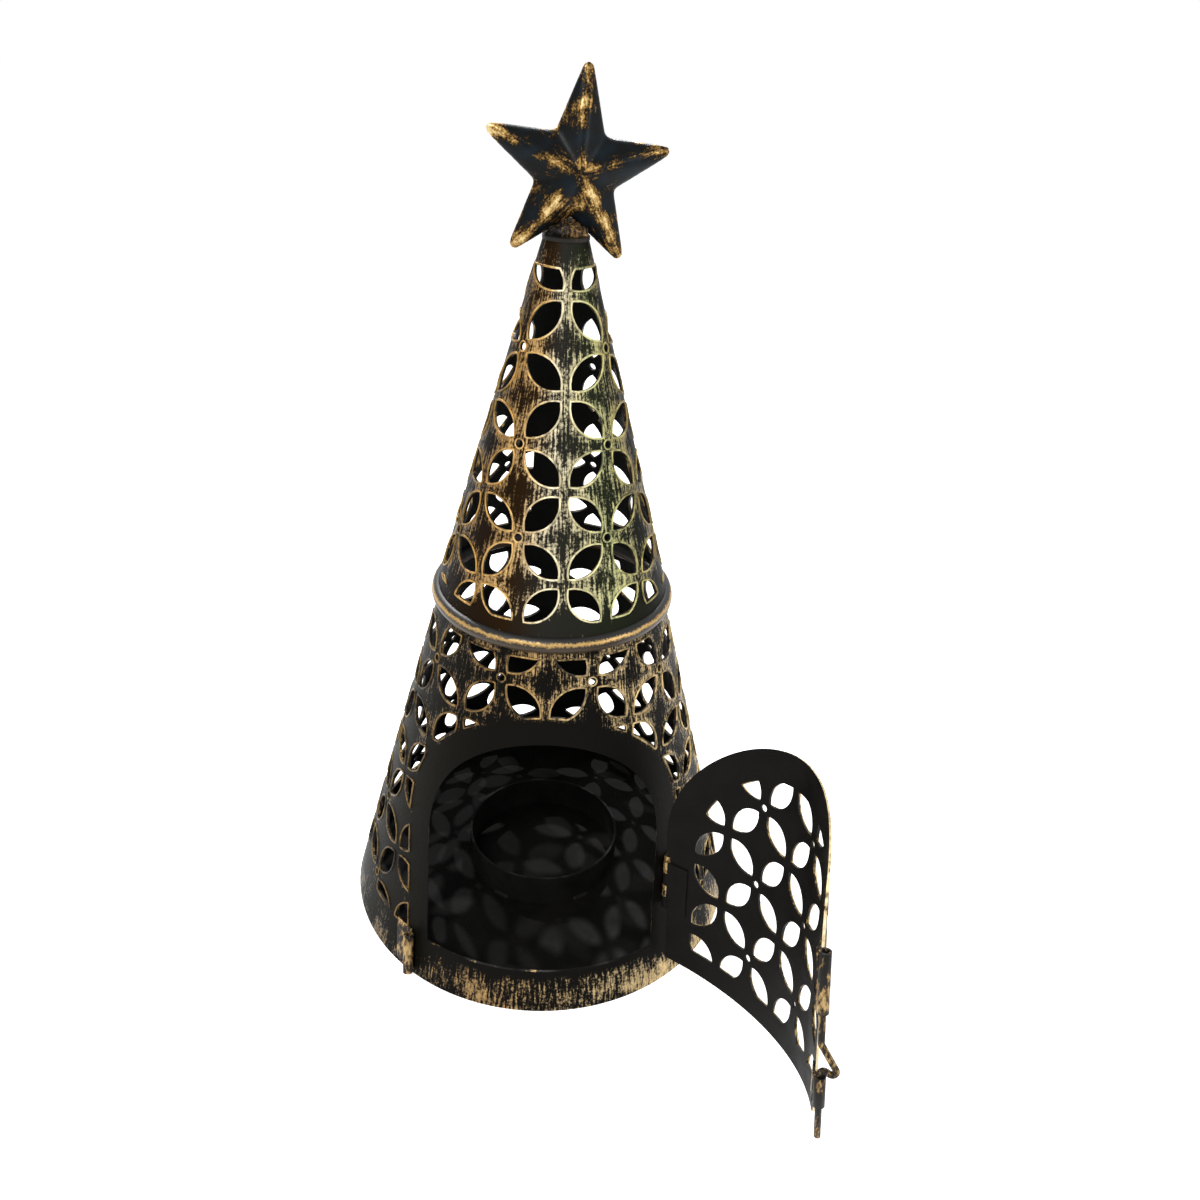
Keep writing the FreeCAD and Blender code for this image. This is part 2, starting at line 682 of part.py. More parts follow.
def barrel(name, foot, length, width, inner, side, placement=None):
    start = bolt.at_height(size(foot))
    leaf = leaf_sheet(bolt, start, size(length), barrel_radius, size(width), inner, side)
    return rolled_leaf(name, bolt, BARREL_BORE + " + Sizes.barrel_wall", BARREL_BORE,
                       "Sizes." + length, [start], leaf, inner, side, placement)


latch_upper_barrel = barrel("latch_upper_barrel", "upper_barrel_foot", "upper_barrel_length",
                            "barrel_leaf_width", door_leaf_inner, 1, opened)
latch_lower_barrel = barrel("latch_lower_barrel", "lower_barrel_foot", "lower_barrel_length",
                            "barrel_leaf_width", door_leaf_inner, 1, opened)
latch_keeper = barrel("latch_keeper", "keeper_foot", "keeper_length", "keeper_leaf_width",
                      0.0, -1)


def bent_wire(points, radii):
    """Straight runs joined by tangent bends, one radius for each inner point."""
    edges = []
    start = points[0]
    for number, radius in enumerate(radii, start=1):
        here = points[number]
        back = (points[number - 1] - here).normalize()
        ahead = (points[number + 1] - here).normalize()
        half_angle = back.getAngle(ahead) / 2
        setback = radius / math.tan(half_angle)
        inward = (back + ahead).normalize()
        crest = here + inward * (radius / math.sin(half_angle) - radius)
        bend_start = here + back * setback
        bend_end = here + ahead * setback
        edges.append(Part.LineSegment(start, bend_start).toShape())
        edges.append(Part.Arc(bend_start, crest, bend_end).toShape())
        start = bend_end
    edges.append(Part.LineSegment(start, points[-1]).toShape())
    return Part.Wire(edges)


bolt_top = bolt.at_height(size("bolt_top"))
bolt_bend = bolt.at_height(size("bolt_bend"))
bolt_handle = bolt_bend + bolt.outward * size("bolt_handle_reach")
bolt_handle = bolt_handle - bolt.axis * size("bolt_handle_drop")
bolt_return = bolt.at_height(size("bolt_return"))
bolt_end = bolt.at_height(size("bolt_foot"))
bolt_run = bent_wire([bolt_top, bolt_bend, bolt_handle, bolt_return, bolt_end],
                     [size("bolt_bend_radius"), size("bolt_tip_radius"), size("bolt_bend_radius")])
bolt_spine = formed("latch_bolt_line", bolt_run)
bolt_section = primitive("Circle", "latch_bolt_section", {"Radius": "Sizes.bolt_radius"},
                         bolt.place(bolt_top))
latch_bolt = doc.addObject("Part::Sweep", "latch_bolt")
latch_bolt.Sections = [bolt_section]
latch_bolt.Spine = (bolt_spine, ["Edge%d" % number for number in range(1, len(bolt_run.Edges) + 1)])
latch_bolt.Solid = True
latch_bolt.Placement = opened

NODES = [lower_shell, upper_shell, waist_ring, floor_plate, floor_plate_welds, candle_ring,
         candle_ring_welds, top_cap, star_stem, star_weld, star_front, star_back,
         hinge_body_leaf, hinge_pin, latch_keeper, door_panel, hinge_door_leaf,
         latch_upper_barrel, latch_lower_barrel, latch_bolt]

doc.recompute()
for item in doc.Objects:
    if "Invalid" in item.State or "Error" in item.State:
        raise RuntimeError("object failed: " + item.Label)
for item in NODES:
    if item.Shape.isNull() or not item.Shape.isValid():
        raise RuntimeError("shape failed: " + item.Label)

os.makedirs("parts", exist_ok=True)
for item in NODES:
    item.Shape.exportStep("parts/" + item.Label + ".step")
    box = item.Shape.BoundBox
    print("%-20s solids %2d volume %9.2f x %7.2f %7.2f y %7.2f %7.2f z %7.2f %7.2f" % (
        item.Label, len(item.Shape.Solids), item.Shape.Volume, box.XMin, box.XMax, box.YMin,
        box.YMax, box.ZMin, box.ZMax))
print("hinge through", tuple(hinge_middle), "axis", tuple(hinge_axis))
print("bolt slides along", tuple(opened.Rotation.multVec(bolt.axis)))
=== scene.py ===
import math
import random

import bmesh
import bpy
from mathutils import Matrix, Vector, noise


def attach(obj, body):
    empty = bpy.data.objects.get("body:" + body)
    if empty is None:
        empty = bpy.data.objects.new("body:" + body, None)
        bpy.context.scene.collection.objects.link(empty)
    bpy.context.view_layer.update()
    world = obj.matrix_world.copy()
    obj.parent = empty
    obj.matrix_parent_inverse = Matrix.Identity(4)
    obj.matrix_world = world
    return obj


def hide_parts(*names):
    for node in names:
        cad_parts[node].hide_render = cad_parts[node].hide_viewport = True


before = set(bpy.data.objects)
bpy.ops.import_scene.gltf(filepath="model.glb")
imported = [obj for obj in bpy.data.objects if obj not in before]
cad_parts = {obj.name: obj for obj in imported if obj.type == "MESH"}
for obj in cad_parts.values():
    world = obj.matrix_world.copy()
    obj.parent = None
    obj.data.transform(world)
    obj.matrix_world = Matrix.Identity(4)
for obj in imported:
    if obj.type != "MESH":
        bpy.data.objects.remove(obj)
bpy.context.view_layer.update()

# A punched tin lantern: black paint dry-brushed with antique gold on the outside,
# plain satin black inside. Lengths are in millimetres and turned to metres by MM,
# unless a heading says otherwise.
MM = 0.001

# The two cones and the door, as they are rolled from flat sheet
LOWER_FOOT_RADIUS = 51.2
LOWER_TOP_RADIUS = 27.5
LOWER_FOOT = 0.0
LOWER_TOP = 89.0
UPPER_FOOT_RADIUS = 27.5
UPPER_TOP_RADIUS = 4.8
UPPER_FOOT = 93.0
UPPER_TOP = 172.4
DOOR_OUT = 1.35

# Lattice of four-petal flowers: pitch, first row down the blank, turn of the blank
LOWER_LATTICE = (21.0, 0.0, 124.2, -1.1)
UPPER_LATTICE = (20.1, 0.0, 27.7, 5.4)
DOOR_LATTICE = (19.05, 18.4, 154.77, 0.0)
PETAL_MIDDLE = 0.3425
PETAL_HALF_LENGTH = 0.2575
PETAL_HALF_WIDTH = 0.135

# Hinge line and how far the door stands open
HINGE_POINT = Vector((31.2, -33.812, 26.3))
HINGE_AXIS = Vector((0.0, 0.2823415, 0.9593140))
DOOR_OPENING = math.radians(113.3)

# Plain border round the doorway
BORDER_HALF_WIDTH = 33.2
BORDER_SPRING = 37.7
BORDER_RISE = 36.4
BORDER_SILL = 9.4

WAIST_HEIGHT = 91.0
WAIST_RADIUS = 27.2

# Paint, in millimetres: one unit of the "rolled" map is ROLLED_UNIT, a brush leaves streaks and
# fuller patches, skips over grain, and catches on the sheet next to a hole
ROLLED_UNIT = 100
STREAK_WIDTH = 0.48
PATCH_WIDTH = 9.0
PATCH_LENGTH = 16.0
GRAIN = 0.6
CATCH_START = 0.2
CATCH_END = 3.4
SEAM_PLAIN = 4.0
SEAM_FADE = 7.0
BORDER_FADE = 1.2

# Raised lip round a hole, and the length round the largest and round a small hole
LIP_RADIUS = 0.24
LIP_OUT = 0.03
LIP_ASIDE = 0.2
LONGEST_HOLE_EDGE = 60.0
SMALL_HOLE_EDGE = 8.0

# A face within this cosine of its cone's normal is the sheet's outside or inside
FACE_ON = 0.9

# Small hardware: flat faces are merged below one angle, edges eased above another
FLAT_ANGLE = math.radians(1)
SOFT_ANGLE = math.radians(35)
EDGE_ANGLE = math.radians(40)

# Star: its middle, turn, lean, arms, crown, and how its tips and ridges are rounded
STAR_MIDDLE = Vector((1.5, 0.0, 185.3))
STAR_TURN = math.radians(11.7)
STAR_LEAN = math.radians(5.1)
STAR_TIP = 19.9
STAR_TIP_ROUND = 1.5
STAR_TIP_TURN = math.radians(66)
STAR_TIP_STEPS = 6
STAR_NOTCH = 8.9
STAR_CROWN = 5.2
STAR_FULLNESS = 0.8
STAR_GRID = 0.3
STAR_SMOOTHINGS = 24
STAR_RIDGE_HALF = 1.9
STAR_RIDGE_ASIDE = 0.3
STAR_RIDGE_LENGTH = 9.0
STAR_RIM_HALF = 0.9
STAR_ARM_APART = 40

# Weld bead between the cap and the star
CAP_TOP = 173.1
BEAD_HALF_SIZE = (4.4, 3.3, 2.5)
BEAD_RISE = 0.6
BEAD_SINK = 0.1

# Camera, where the photo was taken from, in metres and radians
CAMERA_PLACE = (0.0, -0.218965, 0.212386)
CAMERA_YAW = 0.05372
CAMERA_PITCH = -0.51817
CAMERA_ROLL = 0.06470
CAMERA_LENS = 30.70
SENSOR_WIDTH = 36.0
NEAR_CLIP = 0.01

# Studio, in metres
STUDIO_LIGHT = 0.24
FLOOR_GLOW = 0.80
FLOOR_GREY = 0.86
FLOOR_SIZE = 6.0


def linear(hex_colour):
    """An sRGB hex colour as linear red, green, blue and alpha."""
    channels = [int(hex_colour[i:i + 2], 16) / 255 for i in (0, 2, 4)]
    return tuple(c / 12.92 if c <= 0.04045 else ((c + 0.055) / 1.055) ** 2.4
                 for c in channels) + (1.0,)


def add(tree, kind, inputs, **settings):
    """Adds a node with its settings; an input is a value or the socket that feeds it."""
    made = tree.nodes.new(kind)
    for name, value in settings.items():
        setattr(made, name, value)
    for name, value in inputs.items():
        if isinstance(value, bpy.types.NodeSocket):
            tree.links.new(value, made.inputs[name])
        else:
            made.inputs[name].default_value = value
    return made


def new_material(name):
    material = bpy.data.materials.new(name)
    material.use_nodes = True
    material.node_tree.nodes.clear()
    return material, material.node_tree


def finish_surface(tree, colour, metallic, roughness, height, bump_distance, specular):
    """Joins a paint's colour, sheen and relief to the output."""
    bump = add(tree, "ShaderNodeBump", {"Strength": 1.0, "Distance": bump_distance * MM,
                                        "Height": height})
    surface = add(tree, "ShaderNodeBsdfPrincipled", {
        "Base Color": colour, "Metallic": metallic, "Roughness": roughness,
        "Specular IOR Level": specular, "Normal": bump.outputs[0]})
    add(tree, "ShaderNodeOutputMaterial", {"Surface": surface.outputs[0]})


def ramp(tree, value, stops):
    """A colour that runs through hex colours at given places between 0 and 1."""
    made = add(tree, "ShaderNodeValToRGB", {"Fac": value})
    elements = made.color_ramp.elements
    while len(elements) < len(stops):
        elements.new(0.5)
    for element, (position, colour) in zip(elements, stops):
        element.position = position
        element.color = linear(colour)
    return made.outputs[0]


# Thin and full gold round the lantern's front, from its left edge to its right, with painted light
# in it: the upper shell's is brown, then pale, then greenish, darker towards both sides as painted
# shade, its tints painted reflections; the lower parts' antique gold is painted darker on the left
# and lighter to the right
UPPER_GOLD_AND_PAINTED_LIGHT = (((0.05, "1f150a"), (0.22, "3f280d"), (0.36, "573b16"), (0.48, "655b45"),
               (0.60, "5c5539"), (0.70, "484b2a"), (0.84, "2b2a18"), (0.95, "1d1b11")),
              ((0.05, "8f7341"), (0.22, "bd9350"), (0.36, "dcb676"), (0.48, "f0e4c0"),
               (0.60, "ddd3a3"), (0.70, "c5c48a"), (0.84, "b0a468"), (0.95, "8c784a")))
LOWER_GOLD_AND_PAINTED_LIGHT = (((0.05, "211b10"), (0.25, "33240f"), (0.42, "4a3517"), (0.60, "4f3f26"),
               (0.85, "453720")),
              ((0.05, "7d683f"), (0.25, "967647"), (0.42, "b8945c"), (0.60, "d6bb88"),
               (0.85, "d2b67f")))
# Enamel round the front: the upper shell's is painted darker towards both sides and tinted brown,
# grey and greenish as painted reflections; the lower's is nearly even
UPPER_ENAMEL_AND_PAINTED_LIGHT = ((0.05, "0b0906"), (0.22, "1a1006"), (0.36, "231607"), (0.48, "24231f"),
                (0.60, "20211a"), (0.70, "1a1e12"), (0.84, "12130c"), (0.95, "0a0a07"))
LOWER_ENAMEL = ((0.05, "12110b"), (0.35, "0f0e0b"), (0.65, "0f0e0c"), (0.95, "0d0c0a"))


def around_front(tree, place):
    """0 to 1 from the lantern's left edge to its right, as it is seen from the front."""
    spot = add(tree, "ShaderNodeSeparateXYZ", {0: place})
    ahead = add(tree, "ShaderNodeMath", {0: spot.outputs[1], 1: -1.0}, operation="MULTIPLY")
    turn = add(tree, "ShaderNodeMath", {0: spot.outputs[0], 1: ahead.outputs[0]},
               operation="ARCTAN2")
    return add(tree, "ShaderNodeMapRange", {"Value": turn.outputs[0], "From Min": -1.4,
                                            "From Max": 1.4}).outputs[0]


class Cone:
    """The outer face of a rolled sheet and the flat blank it is rolled from."""

    def __init__(self, foot_radius, foot, top_radius, top, lattice):
        slant = math.hypot(foot_radius - top_radius, top - foot)
        self.foot = foot
        self.sine = (foot_radius - top_radius) / slant
        self.cosine = (top - foot) / slant
        self.blank_radius = foot_radius / self.sine
        self.middle_radius = (foot_radius + top_radius) / 2
        self.pitch, self.first_column, self.first_row, turn = lattice
        self.turn = math.radians(turn)

    def normal(self, point):
        azimuth = math.atan2(point.x, -point.y)
        return Vector((math.sin(azimuth) * self.cosine, -math.cos(azimuth) * self.cosine,
                       self.sine))

    def unrolled(self, point, near):
        """Lattice coordinates, and azimuth and slant lengths, of a point in millimetres."""
        azimuth = math.atan2(point.x, -point.y) - self.turn
        azimuth -= math.tau * round((azimuth - near) / math.tau)
        slant = self.blank_radius - (point.z - self.foot) / self.cosine
        bearing = azimuth * self.sine
        across = (slant * math.sin(bearing) - self.first_column) / self.pitch
        down = (slant * math.cos(bearing) - self.first_row) / self.pitch
        return (across, down), (azimuth * self.middle_radius / ROLLED_UNIT, slant / ROLLED_UNIT)


lower_cone = Cone(LOWER_FOOT_RADIUS, LOWER_FOOT, LOWER_TOP_RADIUS, LOWER_TOP, LOWER_LATTICE)
upper_cone = Cone(UPPER_FOOT_RADIUS, UPPER_FOOT, UPPER_TOP_RADIUS, UPPER_TOP, UPPER_LATTICE)
door_cone = Cone(LOWER_FOOT_RADIUS + DOOR_OUT, LOWER_FOOT, LOWER_TOP_RADIUS + DOOR_OUT,
                 LOWER_TOP, DOOR_LATTICE)
as_it_stands = Matrix.Identity(4)
door_shut = (Matrix.Translation(HINGE_POINT) @ Matrix.Rotation(-DOOR_OPENING, 4, HINGE_AXIS)
             @ Matrix.Translation(-HINGE_POINT))


# Dry-brushed paint: black enamel sprayed on tinplate, then a nearly dry brush of gold
# dragged down the cone, so gold catches on rims and in fine streaks along the sheet.
def brushed_paint(name, cone, base, tints, brush, amount, border):
    material, tree = new_material(name)
    pitch = cone.pitch
    lattice = add(tree, "ShaderNodeUVMap", {}, uv_map="lattice").outputs[0]
    rolled = add(tree, "ShaderNodeUVMap", {}, uv_map="rolled").outputs[0]
    place = add(tree, "ShaderNodeTexCoord", {}).outputs["Object"]

    # Distance from the nearest petal's edge, in millimetres: each petal is where two
    # circles meet, on the diagonal of its lattice cell
    cell = add(tree, "ShaderNodeSeparateXYZ", {0: lattice})
    side = add(tree, "ShaderNodeMath", {0: cell.outputs[0], 1: 0.5}, operation="PINGPONG")
    rise = add(tree, "ShaderNodeMath", {0: cell.outputs[1], 1: 0.5}, operation="PINGPONG")
    total = add(tree, "ShaderNodeMath", {0: side.outputs[0], 1: rise.outputs[0]},
                operation="ADD")
    along = add(tree, "ShaderNodeMath", {0: total.outputs[0], 1: math.sqrt(0.5),
                                         2: -PETAL_MIDDLE}, operation="MULTIPLY_ADD")
    apart = add(tree, "ShaderNodeMath", {0: side.outputs[0], 1: rise.outputs[0]},
                operation="SUBTRACT")
    apart = add(tree, "ShaderNodeMath", {0: apart.outputs[0]}, operation="ABSOLUTE")
    arc = (PETAL_HALF_LENGTH ** 2 + PETAL_HALF_WIDTH ** 2) / (2 * PETAL_HALF_WIDTH)
    beside = add(tree, "ShaderNodeMath", {0: apart.outputs[0], 1: math.sqrt(0.5),
                                          2: arc - PETAL_HALF_WIDTH}, operation="MULTIPLY_ADD")
    from_arc = add(tree, "ShaderNodeCombineXYZ", {0: along.outputs[0], 1: beside.outputs[0]})
    reach = add(tree, "ShaderNodeVectorMath", {0: from_arc.outputs[0]}, operation="LENGTH")
    off_petal = add(tree, "ShaderNodeMath", {0: reach.outputs["Value"], 1: arc},
                    operation="SUBTRACT")
    halo = add(tree, "ShaderNodeMapRange", {"Value": off_petal.outputs[0],
                                            "From Min": CATCH_START / pitch,
                                            "From Max": CATCH_END / pitch,
                                            "To Min": 0.12, "To Max": -0.20},
               interpolation_type="SMOOTHSTEP")

    # No petals, and so no halo, along the seam at the back
    turned = add(tree, "ShaderNodeSeparateXYZ", {0: rolled})
    turned = add(tree, "ShaderNodeMath", {0: turned.outputs[0]}, operation="ABSOLUTE")
    seam = math.pi * cone.middle_radius
    pierced = add(tree, "ShaderNodeMapRange", {"Value": turned.outputs[0],
                                               "From Min": (seam - SEAM_FADE) / ROLLED_UNIT,
                                               "From Max": (seam - SEAM_PLAIN) / ROLLED_UNIT,
                                               "To Min": 1.0, "To Max": 0.0})
    halo = add(tree, "ShaderNodeMath", {0: halo.outputs[0], 1: pierced.outputs[0]},
               operation="MULTIPLY")

    # Brush streaks about 0.5 mm wide and some millimetres long, down the sheet
    stroke_length, stroke_weight, grain_weight = brush
    streak_scale = add(tree, "ShaderNodeVectorMath", {
        0: rolled, 1: (ROLLED_UNIT / STREAK_WIDTH, ROLLED_UNIT / stroke_length, 1.0)},
        operation="MULTIPLY")
    streaks = add(tree, "ShaderNodeTexNoise", {"Vector": streak_scale.outputs[0], "Scale": 1.0,
                                               "Detail": 3.0, "Roughness": 0.6})
    # Patches where the brush was fuller, 10 to 20 mm across
    patch_scale = add(tree, "ShaderNodeVectorMath", {
        0: rolled, 1: (ROLLED_UNIT / PATCH_WIDTH, ROLLED_UNIT / PATCH_LENGTH, 1.0)},
        operation="MULTIPLY")
    patches = add(tree, "ShaderNodeTexNoise", {"Vector": patch_scale.outputs[0], "Scale": 1.0,
                                               "Detail": 2.0, "Roughness": 0.5})
    # Speckle where the brush skipped over grain in the enamel
    speckle = add(tree, "ShaderNodeTexNoise", {"Vector": place, "Scale": 1 / (GRAIN * MM),
                                               "Detail": 2.0, "Roughness": 0.7})
    even_level = -0.5 * (stroke_weight + grain_weight + 1.0)
    stroke = add(tree, "ShaderNodeMath", {0: streaks.outputs[0], 1: stroke_weight,
                                          2: even_level}, operation="MULTIPLY_ADD")
    stroke = add(tree, "ShaderNodeMath", {0: patches.outputs[0], 1: 1.0,
                                          2: stroke.outputs[0]}, operation="MULTIPLY_ADD")
    stroke = add(tree, "ShaderNodeMath", {0: speckle.outputs[0], 1: grain_weight,
                                          2: stroke.outputs[0]}, operation="MULTIPLY_ADD")
    stroke = add(tree, "ShaderNodeMath", {0: stroke.outputs[0], 1: halo.outputs[0]},
                 operation="ADD")
    spot = add(tree, "ShaderNodeSeparateXYZ", {0: place})
    stroke = amount(tree, spot, stroke.outputs[0])
    gilded = add(tree, "ShaderNodeMapRange", {"Value": stroke, "From Min": -0.10,
                                              "From Max": 0.24, "To Min": 0.0, "To Max": 1.0},
                 interpolation_type="SMOOTHSTEP").outputs[0]

    if border:
        # The arch round the doorway is masked off and stays plain black
        across = add(tree, "ShaderNodeMath", {0: spot.outputs[0],
                                              1: 1 / (BORDER_HALF_WIDTH * MM)},
                     operation="MULTIPLY")
        upward = add(tree, "ShaderNodeMath", {0: spot.outputs[2], 1: BORDER_SPRING * MM},
                     operation="SUBTRACT")
        upward = add(tree, "ShaderNodeMath", {0: upward.outputs[0], 1: 0.0},
                     operation="MAXIMUM")
        upward = add(tree, "ShaderNodeMath", {0: upward.outputs[0],
                                              1: 1 / (BORDER_RISE * MM)},
                     operation="MULTIPLY")
        arch = add(tree, "ShaderNodeCombineXYZ", {0: across.outputs[0],
                                                  1: upward.outputs[0]})
        arch = add(tree, "ShaderNodeVectorMath", {0: arch.outputs[0]}, operation="LENGTH")
        wander = add(tree, "ShaderNodeMath", {0: speckle.outputs[0], 1: 0.10,
                                              2: arch.outputs["Value"]},
                     operation="MULTIPLY_ADD")
        outside = add(tree, "ShaderNodeMapRange", {"Value": wander.outputs[0],
                                                   "From Min": 1.035, "From Max": 1.09})
        behind = add(tree, "ShaderNodeMapRange", {"Value": spot.outputs[1],
                                                  "From Min": -0.001, "From Max": 0.001})
        sill = add(tree, "ShaderNodeMath", {0: streaks.outputs[0], 1: 2.4 * MM,
                                            2: spot.outputs[2]}, operation="MULTIPLY_ADD")
        below = add(tree, "ShaderNodeMapRange", {"Value": sill.outputs[0],
                                                 "From Min": BORDER_SILL * MM,
                                                 "From Max": (BORDER_SILL + BORDER_FADE) * MM,
                                                 "To Min": 1.0, "To Max": 0.0})
        bare = add(tree, "ShaderNodeMath", {0: outside.outputs[0], 1: behind.outputs[0]},
                   operation="MAXIMUM")
        bare = add(tree, "ShaderNodeMath", {0: bare.outputs[0], 1: below.outputs[0]},
                   operation="MAXIMUM")
        gilded = add(tree, "ShaderNodeMath", {0: gilded, 1: bare.outputs[0]},
                     operation="MULTIPLY").outputs[0]

    # The gold runs from thin and brown to full and pale
    # Round the front the gold and the enamel carry painted light: darker towards the sides, and on
    # the upper shell tinted by painted reflections
    round_front = around_front(tree, place)
    thin = ramp(tree, round_front, tints[0])
    full = ramp(tree, round_front, tints[1])
    thick = add(tree, "ShaderNodeMapRange", {"Value": stroke, "From Min": -0.06,
                                             "From Max": 0.52})
    leaf = add(tree, "ShaderNodeMix", {"Factor": thick.outputs[0], 6: thin,
                                       7: full}, data_type="RGBA")
    enamel = ramp(tree, round_front, base)
    colour = add(tree, "ShaderNodeMix", {"Factor": gilded, 6: enamel,
                                         7: leaf.outputs[2]}, data_type="RGBA")
    metallic = add(tree, "ShaderNodeMath", {0: gilded, 1: 0.35}, operation="MULTIPLY")
    roughness = add(tree, "ShaderNodeMapRange", {"Value": speckle.outputs[0],
                                                 "To Min": 0.36, "To Max": 0.62})
    height = add(tree, "ShaderNodeMath", {0: gilded, 1: 0.6, 2: streaks.outputs[0]},
                 operation="MULTIPLY_ADD")
    shine = add(tree, "ShaderNodeMapRange", {"Value": gilded, "To Min": 0.03, "To Max": 0.4})
    finish_surface(tree, colour.outputs[2], metallic.outputs[0], roughness.outputs[0],
                   height.outputs[0], 0.06, shine.outputs[0])
    return material


def lower_amount(tree, spot, stroke):
    """Full strokes under the waist and along the foot, few between them, more to the right."""
    high = add(tree, "ShaderNodeMapRange", {"Value": spot.outputs[2], "From Min": 40 * MM,
                                            "From Max": 78 * MM, "To Min": -0.26,
                                            "To Max": -0.05})
    low = add(tree, "ShaderNodeMapRange", {"Value": spot.outputs[2], "From Min": 1 * MM,
                                           "From Max": 9 * MM, "To Min": 0.32,
                                           "To Max": 0.0})
    right = add(tree, "ShaderNodeMapRange", {"Value": spot.outputs[0], "From Min": -40 * MM,
                                             "From Max": 36 * MM, "To Min": -0.16,
                                             "To Max": 0.08})
    total = add(tree, "ShaderNodeMath", {0: high.outputs[0], 1: low.outputs[0]},
                operation="ADD")
    total = add(tree, "ShaderNodeMath", {0: total.outputs[0], 1: right.outputs[0]},
                operation="ADD")
    return add(tree, "ShaderNodeMath", {0: total.outputs[0], 1: stroke},
               operation="ADD").outputs[0]


def upper_amount(tree, spot, stroke):
    """Gold all over, thinning to the plain band above the waist ring and at the neck."""
    band = add(tree, "ShaderNodeMapRange", {"Value": spot.outputs[2], "From Min": 95.5 * MM,
                                            "From Max": 101 * MM, "To Min": -0.55,
                                            "To Max": -0.05})
    neck = add(tree, "ShaderNodeMapRange", {"Value": spot.outputs[2], "From Min": 162 * MM,
                                            "From Max": 168 * MM, "To Min": 0.06,
                                            "To Max": -0.14})
    total = add(tree, "ShaderNodeMath", {0: band.outputs[0], 1: neck.outputs[0]},
                operation="ADD")
    return add(tree, "ShaderNodeMath", {0: total.outputs[0], 1: stroke},
               operation="ADD").outputs[0]


def door_amount(tree, spot, stroke):
    """A little less gold than an even brushing leaves."""
    return add(tree, "ShaderNodeMath", {0: stroke, 1: -0.20}, operation="ADD").outputs[0]


# Each brush: length of its strokes in millimetres, weight of the strokes, weight of speckle
lower_paint = brushed_paint("dry_brushed_enamel_lower_and_painted_light", lower_cone, LOWER_ENAMEL, LOWER_GOLD_AND_PAINTED_LIGHT,
                            (4.5, 1.8, 1.2), lower_amount, True)
upper_paint = brushed_paint("dry_brushed_enamel_upper_and_painted_light", upper_cone, UPPER_ENAMEL_AND_PAINTED_LIGHT, UPPER_GOLD_AND_PAINTED_LIGHT,
                            (7.0, 1.7, 1.1), upper_amount, False)
door_paint = brushed_paint("dry_brushed_enamel_door_and_painted_light", door_cone, LOWER_ENAMEL, LOWER_GOLD_AND_PAINTED_LIGHT,
                           (4.5, 1.8, 1.2), door_amount, False)


# Satin enamel: sprayed black paint with fine orange peel and a soft, low sheen
def satin_enamel(name, dark, pale, roughness_low, roughness_high):
    material, tree = new_material(name)
    place = add(tree, "ShaderNodeTexCoord", {}).outputs["Object"]
    # Cloudy variation of about 8 mm, and orange peel of about 0.4 mm
    cloud = add(tree, "ShaderNodeTexNoise", {"Vector": place, "Scale": 1 / (8 * MM),
                                             "Detail": 3.0, "Roughness": 0.55})
    peel = add(tree, "ShaderNodeTexNoise", {"Vector": place, "Scale": 1 / (0.4 * MM),
                                            "Detail": 1.0})
    spread = add(tree, "ShaderNodeMapRange", {"Value": cloud.outputs[0], "From Min": 0.35,
                                              "From Max": 0.65})
    colour = add(tree, "ShaderNodeMix", {"Factor": spread.outputs[0], 6: linear(dark),
                                         7: linear(pale)}, data_type="RGBA")
    sheen = add(tree, "ShaderNodeMapRange", {"Value": cloud.outputs[0], "From Min": 0.35,
                                             "From Max": 0.65, "To Min": roughness_low,
                                             "To Max": roughness_high})
    finish_surface(tree, colour.outputs[2], 0.0, sheen.outputs[0], peel.outputs[0], 0.015, 0.05)
    return material


inner_enamel = satin_enamel("satin_black_enamel_inside", "0b0b0a", "121110", 0.40, 0.55)
door_inner_enamel = satin_enamel("satin_black_enamel_door", "0f0e0d", "171614", 0.45, 0.6)


# Gilt enamel: black paint on small parts and rims, where the brush left most of its gold.
# Thin and full gold are a hex colour each, or a table of them round the lantern's front, which
# carries painted light and shade.
def gilt_enamel(name, dark, thin, full, coverage, grain):
    material, tree = new_material(name)
    place = add(tree, "ShaderNodeTexCoord", {}).outputs["Object"]
    # Strokes about as wide as the grain given, drawn out up the lantern
    drawn = add(tree, "ShaderNodeVectorMath", {0: place, 1: (1.0, 1.0, 0.35)},
                operation="MULTIPLY")
    strokes = add(tree, "ShaderNodeTexNoise", {"Vector": drawn.outputs[0],
                                               "Scale": 1 / (grain * MM), "Detail": 3.0,
                                               "Roughness": 0.65})
    wear = add(tree, "ShaderNodeTexNoise", {"Vector": place, "Scale": 1 / (7 * MM),
                                            "Detail": 2.0})
    mixed = add(tree, "ShaderNodeMath", {0: wear.outputs[0], 1: 0.8, 2: strokes.outputs[0]},
                operation="MULTIPLY_ADD")
    gilded = add(tree, "ShaderNodeMapRange", {"Value": mixed.outputs[0],
                                              "From Min": 1.05 - coverage,
                                              "From Max": 1.25 - coverage},
                 interpolation_type="SMOOTHSTEP")
    thickness = add(tree, "ShaderNodeMapRange", {"Value": mixed.outputs[0],
                                                 "From Min": 1.1 - coverage,
                                                 "From Max": 1.5 - coverage})
    golds = [linear(gold) if isinstance(gold, str) else ramp(tree, around_front(tree, place), gold)
             for gold in (thin, full)]
    leaf = add(tree, "ShaderNodeMix", {"Factor": thickness.outputs[0], 6: golds[0],
                                       7: golds[1]}, data_type="RGBA")
    colour = add(tree, "ShaderNodeMix", {"Factor": gilded.outputs[0], 6: linear(dark),
                                         7: leaf.outputs[2]}, data_type="RGBA")
    metallic = add(tree, "ShaderNodeMath", {0: gilded.outputs[0], 1: 0.5},
                   operation="MULTIPLY")
    finish_surface(tree, colour.outputs[2], metallic.outputs[0], 0.45, strokes.outputs[0],
                   0.03, 0.15)
    return material


